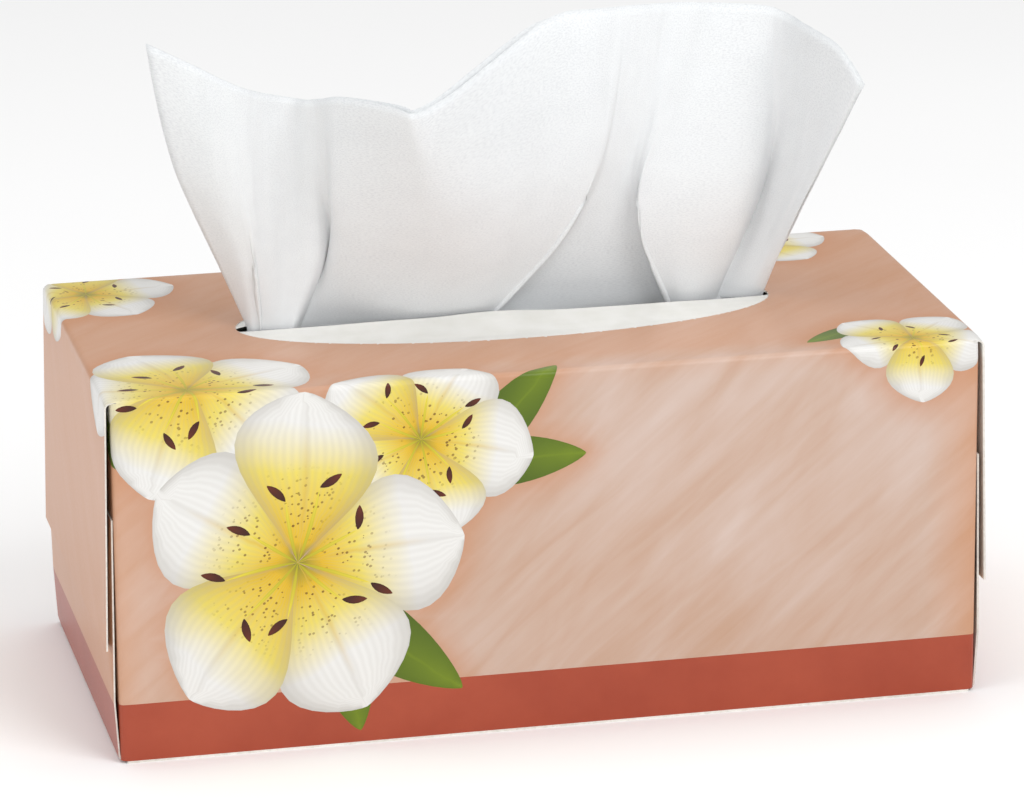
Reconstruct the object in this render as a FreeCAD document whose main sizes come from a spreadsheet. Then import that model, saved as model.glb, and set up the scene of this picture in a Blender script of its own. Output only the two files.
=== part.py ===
"""Tissue box: folded carton, slit window film, tissue stack and a raised two-ply tissue.

The origin is the middle of the base, +X runs to the right along the front panel,
+Y to the back and +Z up. All lengths are in millimetres.
"""

import FreeCAD, Part
import math
import os
import re
import Sketcher
from FreeCAD import Vector

os.makedirs("parts", exist_ok=True)
doc = FreeCAD.newDocument("TissueBox")

# Driving dimensions, each written once
SIZES = (
    ("carton_length", 230),
    ("carton_depth", 112),
    ("carton_height", 95.5),
    ("board_thickness", 0.45),
    ("fold_radius", 1.6),
    ("lap_height", 14),
    ("glue_line", 0.12),
    ("opening_length", 142),
    ("opening_width", 52),
    ("upper_flap_length", 65),
    ("lower_flap_length", 64),
    ("dust_flap_length", 50),
    ("flap_side_gap", 1.2),
    ("flap_layer_gap", 0.5),
    ("flap_lean", 1.4),
    ("bead_length", 30),
    ("bead_width", 5),
    ("bead_height", 47),
    ("bead_spacing", 56),
    ("film_length", 186),
    ("film_width", 78),
    ("film_thickness", 0.08),
    ("film_corner_radius", 6),
    ("slit_length", 144),
    ("slit_gape", 15),
    ("stack_end_gap", 5.75),
    ("stack_side_gap", 5.1),
    ("stack_height", 76),
    ("stack_fold_radius", 6),
    ("tissue_length", 200),
    ("pull_height", 75),
    ("wave_depth", 28),
    ("ply_thickness", 0.2),
    ("ply_gap", 0.45),
    ("ply_peel", 4.5),
    ("lie_inset", 4),
    ("lie_bend_radius", 6),
    ("loop_height", 4),
    ("lip_depth", 1.8),
    ("rest_gap", 0.2),
)

sizes_sheet = doc.addObject("Spreadsheet::Sheet", "Sizes")
for row, (alias, value) in enumerate(SIZES, start=1):
    sizes_sheet.set(f"A{row}", alias)
    sizes_sheet.set(f"B{row}", str(value))
    sizes_sheet.setAlias(f"B{row}", alias)
doc.recompute()


def bound(expression):
    """Write an expression of the sheet's names as the document reads it."""
    return re.sub(r"[a-z]+(_[a-z]+)+", r"Sizes.\g<0>", expression)


def size(expression):
    """Give the present value of an expression of the sheet's names."""
    return float(sizes_sheet.evalExpression(bound(expression)))


# Places that several features share
HALF_LENGTH = "carton_length / 2"
HALF_DEPTH = "carton_depth / 2"
INNER_RADIUS = "(fold_radius - board_thickness)"
UPPER_FLAP_FACE = "(carton_length / 2 - flap_lean)"
LOWER_FLAP_FACE = "(carton_length / 2 - flap_lean - board_thickness - flap_layer_gap)"
DUST_FLAP_FACE = "(carton_length / 2 - flap_lean - 2 * board_thickness - flap_layer_gap)"
SLEEVE_END = f"({DUST_FLAP_FACE} - fold_radius)"
FLAP_WIDTH = "(carton_depth - 2 * fold_radius - 2 * flap_side_gap)"
FILM_TOP = "(carton_height - board_thickness)"
STACK_TOP = "(board_thickness + stack_height)"
STACK_WIDTH = "(carton_depth - 4 * board_thickness - 2 * stack_side_gap)"
TISSUE_WIDTH = f"(2 * ({DUST_FLAP_FACE} - board_thickness - stack_end_gap))"
LIE_LENGTH = f"({STACK_WIDTH} / 2 - lie_inset)"
RETURN_END = f"({LIE_LENGTH} - (tissue_length - pull_height - {LIE_LENGTH} - carton_height + {STACK_TOP}))"
PLY_STEP = "(ply_thickness + ply_gap)"


def origin_plane(body, role):
    """Find one of the body's own origin planes."""
    return next(plane for plane in body.Origin.OriginFeatures if plane.Role == role)


def new_body(label):
    """Make an empty body under its own label."""
    body = doc.addObject("PartDesign::Body", label)
    body.Label = label
    return body


def new_sketch(body, name, role, height="0"):
    """Attach a sketch to an origin plane, at a height along the plane's normal."""
    sketch = body.newObject("Sketcher::SketchObject", name)
    sketch.AttachmentSupport = (origin_plane(body, role), [""])
    sketch.MapMode = "FlatFace"
    sketch.setExpression("AttachmentOffset.Base.z", bound(height))
    return sketch


def hold_point(sketch, edge, end, place):
    """Hold one end of an edge at a place given as two expressions."""
    for kind, expression in zip(("DistanceX", "DistanceY"), place):
        index = sketch.addConstraint(Sketcher.Constraint(kind, -1, 1, edge, end, size(expression)))
        sketch.setExpression(f"Constraints[{index}]", bound(expression))


def draw_outline(sketch, corners):
    """Draw a closed outline and hold each corner by the sheet's names.

    A corner is (x, y) where a straight edge runs to the next one. It is
    (x, y, radius, turn) where an arc does: turn is 1 for an arc that goes
    counter-clockwise from its corner and -1 for one that goes clockwise.
    """
    first = len(sketch.Geometry)
    ends = []
    for corner, following in zip(corners, corners[1:] + corners[:1]):
        start = Vector(size(corner[0]), size(corner[1]), 0)
        finish = Vector(size(following[0]), size(following[1]), 0)
        if len(corner) == 2:
            sketch.addGeometry(Part.LineSegment(start, finish), False)
            ends.append((1, 2))
            continue
        radius, turn = size(corner[2]), corner[3]
        chord = finish - start
        side = Vector(chord.y, -chord.x, 0).normalize() * turn
        rise = radius - math.sqrt(radius ** 2 - (chord.Length / 2) ** 2)
        sketch.addGeometry(Part.Arc(start, start + chord * 0.5 + side * rise, finish), False)
        ends.append((1, 2) if turn > 0 else (2, 1))
    for number, corner in enumerate(corners):
        edge, (tail, head) = first + number, ends[number]
        next_number = (number + 1) % len(corners)
        hold_point(sketch, edge, tail, corner[:2])
        if len(corner) == 4:
            index = sketch.addConstraint(Sketcher.Constraint("Radius", edge, size(corner[2])))
            sketch.setExpression(f"Constraints[{index}]", bound(corner[2]))
        joined = first + next_number
        sketch.addConstraint(Sketcher.Constraint("Coincident", edge, head, joined, ends[next_number][0]))


def pad(body, name, sketch, length, both_sides=True):
    """Pad a sketch, to both sides of its plane or only along its normal."""
    feature = body.newObject("PartDesign::Pad", name)
    feature.Profile = sketch
    feature.setExpression("Length", bound(length))
    feature.SideType = "Symmetric" if both_sides else "One side"
    return feature


def pocket(body, name, sketch, length):
    """Cut a sketch into the body, against its plane's normal, and test that it cuts."""
    doc.recompute()
    volume = body.Shape.Volume
    feature = body.newObject("PartDesign::Pocket", name)
    feature.Profile = sketch
    feature.setExpression("Length", bound(length))
    doc.recompute()
    if body.Shape.Volume >= volume:
        raise RuntimeError(f"{name} cuts nothing")
    return feature


def carton_sleeve(body):
    """Pad the ring of front, top, back and bottom panels with the lap behind the front."""
    sketch = new_sketch(body, "SleeveSection", "YZ_Plane")
    front, back = f"-{HALF_DEPTH}", HALF_DEPTH
    lap_foot = f"-{HALF_DEPTH} + board_thickness"
    glued_from = "fold_radius - sqrt(fold_radius ^ 2 - (fold_radius - glue_line) ^ 2)"
    draw_outline(sketch, [
        (front, "0"),
        (front, "carton_height - fold_radius", "fold_radius", -1),
        (f"{front} + fold_radius", "carton_height"),
        (f"{back} - fold_radius", "carton_height", "fold_radius", -1),
        (back, "carton_height - fold_radius"),
        (back, "fold_radius", "fold_radius", -1),
        (f"{back} - fold_radius", "0"),
        (f"{lap_foot} + fold_radius", "0", "fold_radius", -1),
        (f"{lap_foot} + glue_line", glued_from),
        (lap_foot, glued_from),
        (lap_foot, "0"),
    ])
    inner_front, inner_back = f"{front} + board_thickness", f"{back} - board_thickness"
    lap_inside = f"{front} + 2 * board_thickness"
    draw_outline(sketch, [
        (inner_front, "lap_height"),
        (inner_front, "carton_height - fold_radius", INNER_RADIUS, -1),
        (f"{front} + fold_radius", "carton_height - board_thickness"),
        (f"{back} - fold_radius", "carton_height - board_thickness", INNER_RADIUS, -1),
        (inner_back, "carton_height - fold_radius"),
        (inner_back, "fold_radius", INNER_RADIUS, -1),
        (f"{back} - fold_radius", "board_thickness"),
        (f"{lap_inside} + {INNER_RADIUS}", "board_thickness", INNER_RADIUS, -1),
        (lap_inside, "fold_radius"),
        (lap_inside, "lap_height"),
    ])
    return pad(body, "Sleeve", sketch, f"2 * {SLEEVE_END}")


def upper_flap(body):
    """Pad the outer end flap, which folds down from the top panel and leans out a little."""
    sketch = new_sketch(body, "UpperFlapSection", "XZ_Plane")
    end = "carton_height - upper_flap_length"
    draw_outline(sketch, [
        (SLEEVE_END, "carton_height"),
        (f"{UPPER_FLAP_FACE} - fold_radius", "carton_height", "fold_radius", -1),
        (UPPER_FLAP_FACE, "carton_height - fold_radius"),
        (HALF_LENGTH, end),
        (f"{HALF_LENGTH} - board_thickness", end),
        (f"{UPPER_FLAP_FACE} - board_thickness", "carton_height - fold_radius", INNER_RADIUS, 1),
        (f"{UPPER_FLAP_FACE} - fold_radius", "carton_height - board_thickness"),
        (SLEEVE_END, "carton_height - board_thickness"),
    ])
    return pad(body, "UpperFlap", sketch, FLAP_WIDTH)


def lower_flap(body):
    """Pad the flap that folds up from the bottom panel, against the dust flaps."""
    sketch = new_sketch(body, "LowerFlapSection", "XZ_Plane")
    inside = f"{LOWER_FLAP_FACE} - board_thickness"
    draw_outline(sketch, [
        (SLEEVE_END, "0"),
        (SLEEVE_END, "board_thickness"),
        (f"{LOWER_FLAP_FACE} - fold_radius", "board_thickness", INNER_RADIUS, 1),
        (inside, "fold_radius"),
        (inside, "lower_flap_length"),
        (LOWER_FLAP_FACE, "lower_flap_length"),
        (LOWER_FLAP_FACE, "fold_radius", "fold_radius", -1),
        (f"{LOWER_FLAP_FACE} - fold_radius", "0"),
    ])
    return pad(body, "LowerFlap", sketch, FLAP_WIDTH)


def dust_flaps(body):
    """Pad the two innermost flaps, which fold in from the front and back panels."""
    sketch = new_sketch(body, "DustFlapSections", "XY_Plane", "carton_height / 2")
    inside = f"{DUST_FLAP_FACE} - board_thickness"
    for side, turn in (("-", 1), ("", -1)):
        inward = "+" if side else "-"
        fold = f"{side}{HALF_DEPTH} {inward}"
        draw_outline(sketch, [
            (SLEEVE_END, f"{side}{HALF_DEPTH}", "fold_radius", turn),
            (DUST_FLAP_FACE, f"{fold} fold_radius"),
            (DUST_FLAP_FACE, f"{fold} dust_flap_length"),
            (inside, f"{fold} dust_flap_length"),
            (inside, f"{fold} fold_radius", INNER_RADIUS, -turn),
            (SLEEVE_END, f"{fold} board_thickness"),
        ])
    return pad(body, "DustFlaps", sketch, "carton_height - 2 * fold_radius - 2 * flap_side_gap")


def glue_beads(body):
    """Pad the two glue beads that hold the upper flap on the lower one."""
    sketch = new_sketch(body, "GlueBeads", "YZ_Plane", f"{LOWER_FLAP_FACE} - board_thickness / 2")
    for side in ("-", ""):
        middle = f"{side}bead_spacing / 2"
        draw_outline(sketch, [
            (f"{middle} - bead_length / 2", "bead_height"),
            (f"{middle} + bead_length / 2", "bead_height"),
            (f"{middle} + bead_length / 2", "bead_height + bead_width"),
            (f"{middle} - bead_length / 2", "bead_height + bead_width"),
        ])
    lean = "flap_lean * (carton_height - fold_radius - bead_height - bead_width)"
    reach = f"flap_layer_gap + board_thickness + {lean} / (upper_flap_length - fold_radius)"
    return pad(body, "Beads", sketch, reach, both_sides=False)


def draw_ellipse(sketch, length, width):
    """Draw an ellipse about the sketch's origin, its long axis along the sketch's x."""
    half_length, half_width = size(length) / 2, size(width) / 2
    edge = sketch.addGeometry(Part.Ellipse(Vector(0, 0, 0), half_length, half_width), False)
    sketch.addConstraint(Sketcher.Constraint("Coincident", edge, 3, -1, 1))
    sketch.exposeInternalGeometry(edge)
    long_axis, short_axis = edge + 1, edge + 2
    sketch.addConstraint(Sketcher.Constraint("Horizontal", long_axis))
    for axis, expression in ((long_axis, length), (short_axis, width)):
        index = sketch.addConstraint(Sketcher.Constraint("Distance", axis, size(expression)))
        sketch.setExpression(f"Constraints[{index}]", bound(expression))


def make_carton():
    """Fold the carton: a sleeve with an oval opening and glued flaps at both ends."""
    body = new_body("carton")
    carton_sleeve(body)
    end_features = [upper_flap(body), lower_flap(body), dust_flaps(body), glue_beads(body)]
    doc.recompute()
    mirrored = body.newObject("PartDesign::Mirrored", "FarEnd")
    mirrored.Originals = end_features
    mirrored.MirrorPlane = (origin_plane(body, "YZ_Plane"), [""])
    body.Tip = mirrored
    opening = new_sketch(body, "OpeningOutline", "XY_Plane", "carton_height")
    draw_ellipse(opening, "opening_length", "opening_width")
    pocket(body, "Opening", opening, "2 * board_thickness")
    return body


def make_film():
    """Cut the clear film that is glued under the opening, with its slit drawn open."""
    body = new_body("window_film")
    sketch = new_sketch(body, "FilmOutline", "XY_Plane", f"{FILM_TOP} - film_thickness")
    x, y, radius = "film_length / 2", "film_width / 2", "film_corner_radius"
    draw_outline(sketch, [
        (f"-{x} + {radius}", f"-{y}"),
        (f"{x} - {radius}", f"-{y}", radius, 1),
        (x, f"-{y} + {radius}"),
        (x, f"{y} - {radius}", radius, 1),
        (f"{x} - {radius}", y),
        (f"-{x} + {radius}", y, radius, 1),
        (f"-{x}", f"{y} - {radius}"),
        (f"-{x}", f"-{y} + {radius}", radius, 1),
    ])
    pad(body, "Film", sketch, "film_thickness", both_sides=False)
    slit = new_sketch(body, "SlitOutline", "XY_Plane", FILM_TOP)
    draw_ellipse(slit, "slit_length", "slit_gape")
    pocket(body, "Slit", slit, "2 * film_thickness")
    return body


def make_stack():
    """Pad the interfolded tissues: the folds run along the front and the back."""
    body = new_body("tissue_stack")
    sketch = new_sketch(body, "StackSection", "YZ_Plane")
    y, radius = f"{STACK_WIDTH} / 2", "stack_fold_radius"
    draw_outline(sketch, [
        (f"-{y} + {radius}", "board_thickness"),
        (f"{y} - {radius}", "board_thickness", radius, 1),
        (y, f"board_thickness + {radius}"),
        (y, f"{STACK_TOP} - {radius}", radius, 1),
        (f"{y} - {radius}", STACK_TOP),
        (f"-{y} + {radius}", STACK_TOP, radius, 1),
        (f"-{y}", f"{STACK_TOP} - {radius}"),
        (f"-{y}", f"board_thickness + {radius}", radius, 1),
    ])
    pad(body, "Stack", sketch, TISSUE_WIDTH)
    return body


# The raised tissue's fold lines, left to right. Each is given at the slit, at a third
# and two thirds of its rise, and at the top edge. At the slit, x is a percentage of half
# the slit's length and y of half its gape there. Above it, x is a percentage of half the
# tissue's width, y of the wave's depth, and z of the pulled height.
FOLD_LINES = (
    ((-94, 55), (-74, 25), (-83, 32), (-86, 28, 100)),
    ((-94, -50), (-68, -3), (-74, 6), (-77, 20, 94)),
    ((-90, -65), (-63, -13), (-65, -7), (-66, 4, 86)),
    ((-85, -70), (-59, -6), (-60, 5), (-59, 14, 82)),
    ((-81, -70), (-53, 6), (-52, 18), (-52, 21, 79)),
    ((-78, -70), (-46, -3), (-48, 7), (-49, 6, 79)),
    ((-74, 45), (-42, 7), (-44, 0), (-46, -5, 80)),
    ((-59, 20), (-42, -18), (-43, -27), (-42, -32, 83)),
    ((-40, -55), (-28, -39), (-29, -62), (-32, -86, 84)),
    ((-26, -70), (-16, -50), (-19, -79), (-25, -100, 82)),
    ((-15, -70), (-3, -52), (-2, -51), (0, -14, 94)),
    ((-10, -70), (7, -39), (14, -10), (15, 29, 103)),
    ((-7, -65), (15, -29), (28, 15), (31, 57, 102)),
    ((3, 45), (18, 7), (30, 25), (35, 64, 101)),
    ((31, 65), (28, 21), (34, 38), (39, 71, 101)),
    ((64, 60), (35, 16), (37, 34), (43, 75, 100)),
    ((61, -20), (34, -27), (39, 20), (48, 75, 100)),
    ((68, -60), (47, -32), (53, 19), (59, 68, 99)),
    ((77, -15), (61, -7), (68, 19), (69, 43, 99)),
    ((81, 60), (67, 21), (72, 21), (73, 21, 98)),
    ((89, 5), (70, -8), (76, -15), (76, -21, 96)),
    ((94, -20), (71, -26), (78, -50), (81, -64, 92)),
    ((97, 20), (71, -31), (77, -65), (84, -96, 82)),
)


# How the tissue turns up from the stack, in three steps: the share of the way that it has
# drawn in to the slit, and how far behind the slit and how high it is, in bend radii
BEND_STEPS = ((0.0, 2.0, 0.0), (0.15, 0.8, 0.3), (0.4, 0.1, 1.2))

# How far each fold is overdrawn, so that the smooth surface still reaches its line
FOLD_REACH = 0.2

# Where the plies part: the middle and half width across, and where it starts along
PEEL_MIDDLE = 0.47
PEEL_REACH = 0.16
PEEL_START = 0.8

# How finely the tissue is cut into flat facets
ACROSS_STEPS = 38
ALONG_STEPS = 22


def slit_point(x_share, y_share):
    """Give a point of the open slit from its two shares."""
    x = x_share / 100 * size("slit_length") / 2
    half_gape = size("slit_gape") / 2 * math.sqrt(max(0.0, 1 - (x_share / 100) ** 2))
    return x, y_share / 100 * half_gape


def sheet_places():
    """Give each fold line's place across the flat tissue, from -1 to 1."""
    depth_share = size(f"2 * wave_depth / {TISSUE_WIDTH}")
    heads = [Vector(line[3][0], line[3][1] * depth_share, 0) for line in FOLD_LINES]
    travel = [0.0]
    for head, following in zip(heads, heads[1:]):
        travel.append(travel[-1] + (following - head).Length)
    return [2 * distance / travel[-1] - 1 for distance in travel]


def fold_line_points(line, place):
    """Follow one fold line from its hidden end, round its loop and up through the slit."""
    (slit_x, slit_y), low, high, head = line
    x, y = slit_point(slit_x, slit_y)
    top, bend = size("carton_height"), size("lie_bend_radius")
    half_width, wave = size(f"{TISSUE_WIDTH} / 2"), size("wave_depth")
    rise = size("pull_height") * head[2] / 100
    rest = size(f"{STACK_TOP} + rest_gap + ply_thickness / 2 + {PLY_STEP}")
    over = rest + size("loop_height")
    lie, hidden_end = size(LIE_LENGTH), size(RETURN_END)
    spread = place * half_width
    points = [
        Vector(spread, hidden_end, rest),
        Vector(spread, lie - bend, rest),
        Vector(spread, lie, rest),
        Vector(spread, lie, over),
        Vector(spread, lie - bend, over),
    ]
    for drawn_in, behind, risen in BEND_STEPS:
        points.append(Vector(spread + (x - spread) * drawn_in, y + behind * bend, over + risen * bend))
    points += [Vector(x, y, top - size("lip_depth")), Vector(x, y, top)]
    for number, (x_share, y_share) in enumerate((low[:2], high[:2], head[:2]), start=1):
        points.append(Vector(x_share / 100 * half_width, y_share / 100 * wave, top + rise * number / 3))
    return points


def overdraw(rows):
    """Push each fold line away from its neighbours, to make up for the smoothing between them."""
    drawn = [rows[0]]
    for before, row, after in zip(rows, rows[1:], rows[2:]):
        drawn.append([b + (b - (a + c) * 0.5) * FOLD_REACH for a, b, c in zip(before, row, after)])
    return drawn + [rows[-1]]


def sheet_surface(rows):
    """Span a smooth surface over the fold lines, which it follows and meets at its corners."""
    degree = 2
    knots, multiples = [], []
    for count in (len(rows), len(rows[0])):
        spans = count - degree
        knots.append([knot / spans for knot in range(spans + 1)])
        multiples.append([degree + 1] + [1] * (spans - 1) + [degree + 1])
    surface = Part.BSplineSurface()
    surface.buildFromPolesMultsKnots(rows, *multiples, *knots, False, False, degree, degree)
    return surface


def sheet_points(surface):
    """Sample the surface at every corner of its facets, left to right and hidden end to top."""
    return [
        [surface.value(i / ACROSS_STEPS, j / ALONG_STEPS) for j in range(ALONG_STEPS + 1)]
        for i in range(ACROSS_STEPS + 1)
    ]


def sheet_grid(points, distance_at):
    """Step off the facets' corners towards the tissue's rear, square to the facets round them."""
    grid = []
    for i, row in enumerate(points):
        before, after = points[max(i - 1, 0)], points[min(i + 1, ACROSS_STEPS)]
        stepped = []
        for j, point in enumerate(row):
            upward = row[min(j + 1, ALONG_STEPS)] - row[max(j - 1, 0)]
            rearward = upward.cross(after[j] - before[j]).normalize()
            stepped.append(point + rearward * distance_at(i / ACROSS_STEPS, j / ALONG_STEPS))
        grid.append(stepped)
    return grid


def strip_facets(near, far):
    """Give the flat triangles between two rows of points."""
    facets = []
    for a, b, c, d in zip(near, near[1:], far[1:], far):
        facets += [Part.Face(Part.makePolygon([a, b, c, a])), Part.Face(Part.makePolygon([a, c, d, a]))]
    return facets


def ply_solid(points, distance_at):
    """Close a thin solid between two faceted skins that run beside the surface's points."""
    half = size("ply_thickness / 2")
    front = sheet_grid(points, lambda across, along: distance_at(across, along) - half)
    rear = sheet_grid(points, lambda across, along: distance_at(across, along) + half)
    facets = []
    for skin in (front, rear):
        for near, far in zip(skin, skin[1:]):
            facets += strip_facets(near, far)
    for end in (0, -1):
        facets += strip_facets(front[end], rear[end])
        facets += strip_facets([row[end] for row in front], [row[end] for row in rear])
    joined = Part.makeCompound(facets)
    joined.sewShape()
    solid = Part.makeSolid(joined.Shells[0])
    if solid.Volume < 0:
        solid.reverse()
    return solid


def peel(across, along):
    """Give the gap between the plies, which part at the top edge left of the middle."""
    reach = max(0.0, 1 - ((across - PEEL_MIDDLE) / PEEL_REACH) ** 2)
    height = max(0.0, (along - PEEL_START) / (1 - PEEL_START))
    return size(PLY_STEP) + size("ply_peel") * reach ** 2 * height ** 2


def make_ply(label, points, distance_at):
    """Make one ply of the raised tissue as a solid under its own label."""
    ply = doc.addObject("Part::Feature", label)
    ply.Label = label
    ply.Shape = ply_solid(points, distance_at)
    ply.Placement = FreeCAD.Placement()
    return ply


def main():
    """Build every piece, test it and write it out."""
    pieces = [make_carton(), make_film(), make_stack()]
    rows = [fold_line_points(line, place) for line, place in zip(FOLD_LINES, sheet_places())]
    points = sheet_points(sheet_surface(overdraw(rows)))
    pieces.append(make_ply("front_ply", points, lambda across, along: 0.0))
    pieces.append(make_ply("rear_ply", points, peel))
    doc.recompute()
    for item in doc.Objects:
        if "Invalid" in item.State or "Error" in item.State:
            raise RuntimeError(f"{item.Label} has failed: {item.State}")
    for piece in pieces:
        if piece.Shape.isNull() or not piece.Shape.isValid():
            raise RuntimeError(f"{piece.Label} has no sound shape")
    for piece in pieces:
        piece.Shape.exportStep(f"parts/{piece.Label}.step")


main()
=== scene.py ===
"""Dresses the tissue box: printed carton, window film, tissue stack and raised tissue."""

import logging
import math
from dataclasses import dataclass, field
from enum import Enum
from typing import Union

import bpy
from mathutils import Matrix, Vector, kdtree, noise
from mathutils.geometry import delaunay_2d_cdt


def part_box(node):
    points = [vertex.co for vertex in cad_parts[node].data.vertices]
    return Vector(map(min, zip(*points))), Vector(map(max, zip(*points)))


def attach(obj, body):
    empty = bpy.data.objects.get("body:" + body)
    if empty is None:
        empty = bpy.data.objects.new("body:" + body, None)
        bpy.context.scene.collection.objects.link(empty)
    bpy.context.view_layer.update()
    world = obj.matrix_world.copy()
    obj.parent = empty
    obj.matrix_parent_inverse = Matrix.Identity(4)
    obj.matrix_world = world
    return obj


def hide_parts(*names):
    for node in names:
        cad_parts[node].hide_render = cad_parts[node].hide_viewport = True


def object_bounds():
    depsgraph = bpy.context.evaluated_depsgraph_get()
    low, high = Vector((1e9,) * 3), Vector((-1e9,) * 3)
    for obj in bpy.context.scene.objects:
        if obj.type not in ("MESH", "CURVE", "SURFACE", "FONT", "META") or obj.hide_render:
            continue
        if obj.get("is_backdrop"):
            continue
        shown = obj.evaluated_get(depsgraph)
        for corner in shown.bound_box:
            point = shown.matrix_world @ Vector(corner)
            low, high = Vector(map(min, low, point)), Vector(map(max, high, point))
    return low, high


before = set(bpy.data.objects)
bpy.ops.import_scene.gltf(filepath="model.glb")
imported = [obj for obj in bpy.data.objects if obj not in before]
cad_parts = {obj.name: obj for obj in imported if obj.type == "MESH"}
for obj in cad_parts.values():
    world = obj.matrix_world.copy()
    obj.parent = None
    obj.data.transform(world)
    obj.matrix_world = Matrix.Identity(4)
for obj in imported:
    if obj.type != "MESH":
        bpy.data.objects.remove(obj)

LOG = logging.getLogger("tissue_box")
MM = 0.001
TINY = 1e-9
BODY = "root"
Colour = tuple[float, float, float, float]
Point = tuple[float, float]
Socket = bpy.types.NodeSocket
Level = Union[Socket, float]
Tone = Union[Socket, Colour]


def srgb(red: int, green: int, blue: int) -> Colour:
    """Turn a screen colour into the linear colour that shaders take.

    Args:
        red: its red, from 0 to 255.
        green: its green, likewise.
        blue: its blue, likewise.

    Returns:
        The linear colour, opaque.
    """
    linear = []
    for value in (red, green, blue):
        share = value / 255
        linear.append(share / 12.92 if share <= 0.04045 else ((share + 0.055) / 1.055) ** 2.4)
    return (linear[0], linear[1], linear[2], 1.0)


class NodeGraph:
    """A small helper that adds shader nodes and joins them."""

    def __init__(self, name: str) -> None:
        """Start an empty node material.

        Args:
            name: the material's name.
        """
        self.material = bpy.data.materials.new(name)
        self.material.use_nodes = True
        self.tree = self.material.node_tree
        self.tree.nodes.clear()
        self.output = self.tree.nodes.new("ShaderNodeOutputMaterial")

    def add(self, kind: str, inputs: dict | None = None, **settings: object) -> bpy.types.Node:
        """Add a node.

        Args:
            kind: the node's type, without its ShaderNode prefix.
            inputs: socket name or number to a value or to another node's socket.
            settings: the node's own properties.

        Returns:
            The new node.
        """
        node = self.tree.nodes.new("ShaderNode" + kind)
        for key, value in settings.items():
            setattr(node, key, value)
        for key, value in (inputs or {}).items():
            self.feed(node.inputs[key], value)
        return node

    def feed(self, socket: bpy.types.NodeSocket, value: object) -> None:
        """Join a socket to another one, or set its constant.

        Args:
            socket: the input.
            value: the other node's socket, or the constant.
        """
        if isinstance(value, bpy.types.NodeSocket):
            self.tree.links.new(value, socket)
        else:
            socket.default_value = value

    def math(self, operation: str, first: Level, second: Level = 0.5, clamp: bool = False) -> Socket:
        """Add a Math node and return its result socket."""
        return self.add("Math", {0: first, 1: second}, operation=operation, use_clamp=clamp).outputs[0]

    def ramp(self, factor: Socket, stops: list[tuple[float, object]]) -> bpy.types.Node:
        """Add a colour ramp.

        Args:
            factor: the socket that drives it.
            stops: places from 0 to 1, each with a grey level or a colour.

        Returns:
            The ramp node.
        """
        node = self.add("ValToRGB", {"Fac": factor})
        elements = node.color_ramp.elements
        while len(elements) < len(stops):
            elements.new(0.5)
        for element, (place, colour) in zip(elements, stops):
            element.position = place
            element.color = colour if isinstance(colour, tuple) else (colour, colour, colour, 1.0)
        return node

    def mix(self, factor: Level, first: Tone, second: Tone, blend: str = "MIX") -> Socket:
        """Add a colour mix.

        Args:
            factor: how much of the second colour there is, as a number or a socket.
            first: the first colour.
            second: the second colour.
            blend: the way in which they mix.

        Returns:
            The result's socket.
        """
        node = self.add("Mix", data_type="RGBA", blend_type=blend)
        colour_a, colour_b, mixed = 6, 7, 2
        for key, value in (("Factor", factor), (colour_a, first), (colour_b, second)):
            self.feed(node.inputs[key], value)
        return node.outputs[mixed]

    def noise(self, vector: Socket, scale: float, detail: float, roughness: float = 0.5,
              distortion: float = 0.0) -> Socket:
        """Add fractal noise.

        Args:
            vector: the socket with its coordinates.
            scale: how fine it is.
            detail: its number of octaves.
            roughness: how strong the finer octaves are.
            distortion: how far it is swirled.

        Returns:
            The socket with its level.
        """
        return self.add("TexNoise", {
            "Vector": vector, "Scale": scale, "Detail": detail,
            "Roughness": roughness, "Distortion": distortion,
        }).outputs["Fac"]

    def between(self, value: Socket, start: float, end: float) -> Socket:
        """Add a ramp of numbers, from 0 at one value to 1 at another, and return its socket."""
        limits = {"Value": value, "From Min": start, "From Max": end}
        return self.add("MapRange", limits, clamp=True).outputs[0]

    def uv(self, name: str) -> Socket:
        """Return the coordinates of a named UV map."""
        return self.add("UVMap", uv_map=name).outputs["UV"]

    def stretch(self, vector: Socket, scale: tuple, turn: float = 0.0) -> Socket:
        """Turn coordinates about Z, in degrees, and then scale them."""
        return self.add("Mapping", {
            "Vector": vector,
            "Rotation": (0.0, 0.0, math.radians(turn)),
            "Scale": tuple(1 / share for share in scale),
        }, vector_type="TEXTURE").outputs[0]

    def finish(self, shader: bpy.types.Node) -> bpy.types.Material:
        """Join a shader to the output and return the material."""
        self.tree.links.new(shader.outputs[0], self.output.inputs["Surface"])
        return self.material


class WorldGraph(NodeGraph):
    """The same helper for the world's own nodes."""

    def __init__(self, name: str) -> None:
        """Start the world with no nodes but its output.

        Args:
            name: the world's name.
        """
        world = bpy.data.worlds.new(name)
        world.use_nodes = True
        bpy.context.scene.world = world
        self.tree = world.node_tree
        self.tree.nodes.clear()
        self.output = self.tree.nodes.new("ShaderNodeOutputWorld")


def rounded_edge(angle: float, half_length: float, half_width: float, squareness: float) -> Point:
    """Find the edge of a rectangle with rounded corners.

    Args:
        angle: the direction from its middle.
        half_length: half its length.
        half_width: half its width.
        squareness: how tight its corners are.

    Returns:
        The edge's point in that direction.
    """
    c, s = math.cos(angle), math.sin(angle)
    reach = (abs(c / half_length) ** squareness + abs(s / half_width) ** squareness) ** (-1 / squareness)
    return c * reach, s * reach


def span(node: str, axis: int) -> float:
    """Give a solid's size along an axis, from its part in model.glb."""
    low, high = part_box(node)
    return high[axis] - low[axis]


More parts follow.
